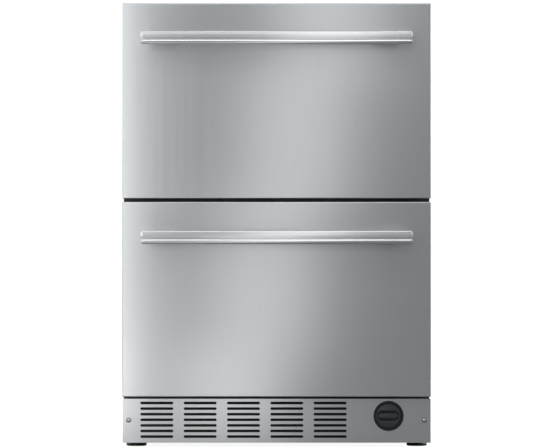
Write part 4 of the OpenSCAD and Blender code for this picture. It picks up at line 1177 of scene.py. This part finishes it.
@dataclass
class ToeGrille(SubAssembly):
    """Slotted steel grille with black fins behind its slots, which stand in for the shade of the machine space seen
    through them (painted shade).
    """

    first: Span = (-0.2654, 0.0209)
    pitch: Span = (0.0844, 0.0109)
    slot: Span = (0.0642, 0.0052)
    sheet: float = 0.00125
    fin: Point = (0.0076, 0.0086, 0.0005)
    fin_lip: float = 0.0010
    fin_overlap: float = 0.0016
    washer: Span = (0.0024, 0.0049)
    screw_head: float = 0.004

    def nodes(self) -> list[str]:
        """Names of the sub-assembly's nodes."""
        return ["toe_grille", "grille_screws"]

    def build(self) -> None:
        """Set one leaning black fin behind each slot, painted shade that darkens the slots, then the washers."""
        depth, rise, sheet = self.fin
        lip, w = self.fin_lip, self.slot[0] / 2 + self.fin_overlap
        side = [
            (0.0, -lip), (0.0012, -lip), (depth, rise - 0.001), (depth, rise), (depth - 0.0006, rise),
            (0.0, sheet - lip),
        ]
        # Black fins behind the slots are painted shade: dark pieces standing where the real grille shows the dim
        # machine space.
        item = loft("painted_shade_fin", [[(x, y, z) for y, z in side] for x in (-w, w)], smooth=False)
        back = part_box("toe_grille")[0].y + self.sheet
        self.repeat(
            grid_pattern, "grille_painted_shade_fins", item, "cabinet", "black_plastic", Columns=5, Rows=7,
            Across=self.pitch[0], Up=self.pitch[1],
            First=(self.first[0] + self.slot[0] / 2, back, self.first[1] - self.slot[1] / 2),
        )
        self.washers()

    def washers(self) -> None:
        """Lay a dark washer under each screw of the grille."""
        low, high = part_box("grille_screws")
        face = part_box("toe_grille")[0].y
        inner, outer = self.washer
        profile = [(inner, -0.0001), (inner, -0.0006), (outer - 0.0004, -0.0007), (outer, -0.0003), (outer, 0.0001)]
        rings = disc_rings(profile, 36)
        item = loft("washer", rings + [rings[0]], closed_ends=False)
        x = high.x - self.screw_head
        self.repeat(
            grid_pattern, "grille_screw_washers", item, "cabinet", "black_rubber", Columns=2, Rows=1, Across=2 * x,
            First=(-x, face, (low.z + high.z) / 2),
        )


@dataclass
class FilterAccess(SubAssembly):
    """Water filter behind the round cap, with its inlet and line."""

    cap_ease: float = 0.0006
    inlet_in: float = 0.0155
    inlet_height: float = 0.0612
    thread_turns: float = 8.0
    thread_radius: float = 0.0132
    thread_length: float = 0.0144
    thread_ridge: float = 0.00075

    def nodes(self) -> list[str]:
        """Names of the sub-assembly's nodes."""
        return ["filter_housing", "filter_cartridge", "filter_cap", "inlet_valve", "water_line"]

    def build(self) -> None:
        """Soften the cap and cut the inlet's thread."""
        self.ease("filter_cap", "filter_cap_finished", self.cap_ease, 2)
        low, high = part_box("inlet_valve")
        inlet = ((low.x + high.x) / 2, high.y - self.inlet_in, self.inlet_height)
        seed = mesh_piece("thread_seed", [(0, 0, 0), (0.001, 0, 0), (0, 0, 0.001)], [(0, 1, 2)])
        self.repeat(
            thread_pattern, "inlet_thread", seed, "cabinet", "white_plastic", Turns=self.thread_turns,
            Radius=self.thread_radius, Length=self.thread_length, Ridge=self.thread_ridge, Start=inlet,
        )


@dataclass
class CabinetBody(SubAssembly):
    """Painted shell with foam, liners, back, base and feet."""

    strip_half: float = 0.226
    strip_height: float = 0.0084
    strip_depth: float = 0.0016
    seal_back: float = 0.014
    seal_depth: float = 0.0135
    seal_drop: float = 0.0034
    seal_end_in: float = 0.002
    rivet: float = 0.0032
    rivets_a_side: int = 6
    rivet_end_in: float = 0.03
    rivet_up: float = 0.012

    def nodes(self) -> list[str]:
        """Names of the sub-assembly's nodes."""
        feet = [f"foot_{end}_{hand}" for end in ("front", "back") for hand in ("left", "right")]
        return [
            "cabinet_shell", "cabinet_insulation", "upper_liner", "lower_liner", "mullion_bar", "back_panel",
            "machine_cover", "cover_screws", "base_pan", "cord_gland", *feet,
        ]

    def build(self) -> None:
        """Close the mullion's slot with its trim strip, seal the gap over the grille and rivet the shell."""
        low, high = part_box("mullion_bar")
        z = (low.z + high.z) / 2
        half, h, d = self.strip_half, self.strip_height / 2, self.strip_depth
        plan = [(-half, -h), (half, -h), (half, h), (-half, h)]
        eased = [(x * 0.9975, v * 0.8) for x, v in plan]
        steps = ((plan, 0.0015), (plan, -d * 0.5), (eased, -d))
        rings = [[(x, low.y + y, z + v) for x, v in ring] for ring, y in steps]
        self.add(loft("mullion_trim_strip", rings, smooth=False), "cabinet", "dark_trim")
        self.grille_seal()
        self.rivets()

    def grille_seal(self) -> None:
        """Lay the rubber strip under the foam's floor that closes the gap over the grille to draughts."""
        low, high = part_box("cabinet_insulation")
        half, top, drop, d = high.x - self.seal_end_in, low.z, self.seal_drop, self.seal_depth
        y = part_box("toe_grille")[1].y - self.seal_back
        edge = [
            (y, top - drop + 0.0004), (y + 0.001, top - drop), (y + d - 0.0005, top - drop), (y + d, top), (y, top)
        ]
        item = loft("grille_top_seal", [[(x, *point) for point in edge] for x in (-half, half)])
        self.add(item, "cabinet", "black_rubber")

    def rivets(self) -> None:
        """Set the row of low rivets that join each side of the shell to the base."""
        low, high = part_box("cabinet_shell")
        r = self.rivet
        profile = [(r, 0.0), (r * 0.9, 0.00035), (r * 0.55, 0.00075), (r * 0.2, 0.0009)]
        step = (high.y - low.y - 2 * self.rivet_end_in) / (self.rivets_a_side - 1)
        for label, sign in (("left", -1), ("right", 1)):
            item = loft("rivet", [[(y * sign, x, z) for x, y, z in ring] for ring in disc_rings(profile, 16)])
            first = (sign * (high.x - 0.0001), low.y + self.rivet_end_in, low.z + self.rivet_up)
            self.repeat(
                grid_pattern, f"shell_{label}_rivets", item, "cabinet", "cabinet_paint", Columns=1,
                Rows=self.rivets_a_side, Along=step, First=first,
            )


@dataclass
class MachineSpace(SubAssembly):
    """Compressor, condenser, fan and pipes behind the rear cover."""

    weld_beads: int = 96
    weld: float = 0.0011
    weld_radius: float = 0.0700
    weld_height: float = 0.1265

    def nodes(self) -> list[str]:
        """Names of the sub-assembly's nodes."""
        return [
            "compressor", "compressor_mounts", "relay_box", "condenser_coil", "fan_shroud", "condenser_fan_motor",
            "condenser_fan", "filter_drier", "refrigerant_pipes", "drain_pan",
        ]

    def build(self) -> None:
        """Lay the weld round the compressor's seam."""
        low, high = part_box("compressor")
        centre = ((low.x + high.x) / 2, (low.y + high.y) / 2, self.weld_height)
        thin = self.weld * 0.3
        profile = [(thin, -0.0012), (self.weld, -0.0004), (self.weld, 0.0004), (thin, 0.0012)]
        self.repeat(
            ring_pattern, "compressor_weld", loft("weld_bead", disc_rings(profile, 6)), "cabinet", "black_paint",
            Count=self.weld_beads, Radius=self.weld_radius, Upright=1.0, Centre=centre,
        )


@dataclass
class CoolingSpace(SubAssembly):
    """Evaporator with its cover, fan and motor."""

    def nodes(self) -> list[str]:
        """Names of the sub-assembly's nodes."""
        return ["evaporator_coil", "evaporator_cover", "evaporator_fan_motor", "evaporator_fan"]


@dataclass
class LightsAndKeys(SubAssembly):
    """Key panel and light lenses at the top of the compartments."""

    key_radius: float = 0.0080
    key_pitch: float = 0.030

    def nodes(self) -> list[str]:
        """Names of the sub-assembly's nodes."""
        return ["control_panel", "light_lenses"]

    def build(self) -> None:
        """Ring each key well, on both sides of the window."""
        low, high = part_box("control_panel")
        y = (low.y + high.y) / 2
        r, lip = self.key_radius, 0.0003
        profile = [
            (r - 2 * lip, -0.0004), (r - lip, -0.0008), (r + lip, -0.0008), (r + 0.0007, -0.0001), (r + 0.0007, lip),
            (r - 2 * lip, lip),
        ]
        for label, x in (("left", -2 * self.key_pitch), ("right", self.key_pitch)):
            rings = [[(a, c, b) for a, b, c in ring] for ring in disc_rings(profile, 32)]
            item = loft("key_ring", rings + [rings[0]], closed_ends=False)
            self.repeat(
                grid_pattern, f"key_rings_{label}", item, "cabinet", "bright_steel", Columns=2, Rows=1,
                Across=self.key_pitch, First=(x, y, low.z + 0.0002),
            )


def main() -> None:
    """Build the studio, the finishes and every sub-assembly in order."""
    logging.basicConfig(level=logging.INFO, format="%(name)s: %(message)s")
    Studio().build()
    book = FinishBook()
    book.build()
    single = (CabinetBody, ToeGrille, FilterAccess, MachineSpace, CoolingSpace, LightsAndKeys)
    parts: list[SubAssembly] = [kind(book) for kind in single]
    for side in Side:
        parts += [kind(book, side) for kind in (DrawerFront, HandleBar, StorageBin, Slides)]
    for part in parts:
        log.info("sub-assembly %s", type(part).__name__)
        part.dress()
        part.build()
    left = set(NODES) - {node for part in parts for node in part.nodes()}
    if left:
        log.warning("nodes without a finish: %s", sorted(left))


if __name__ == "__main__":
    main()
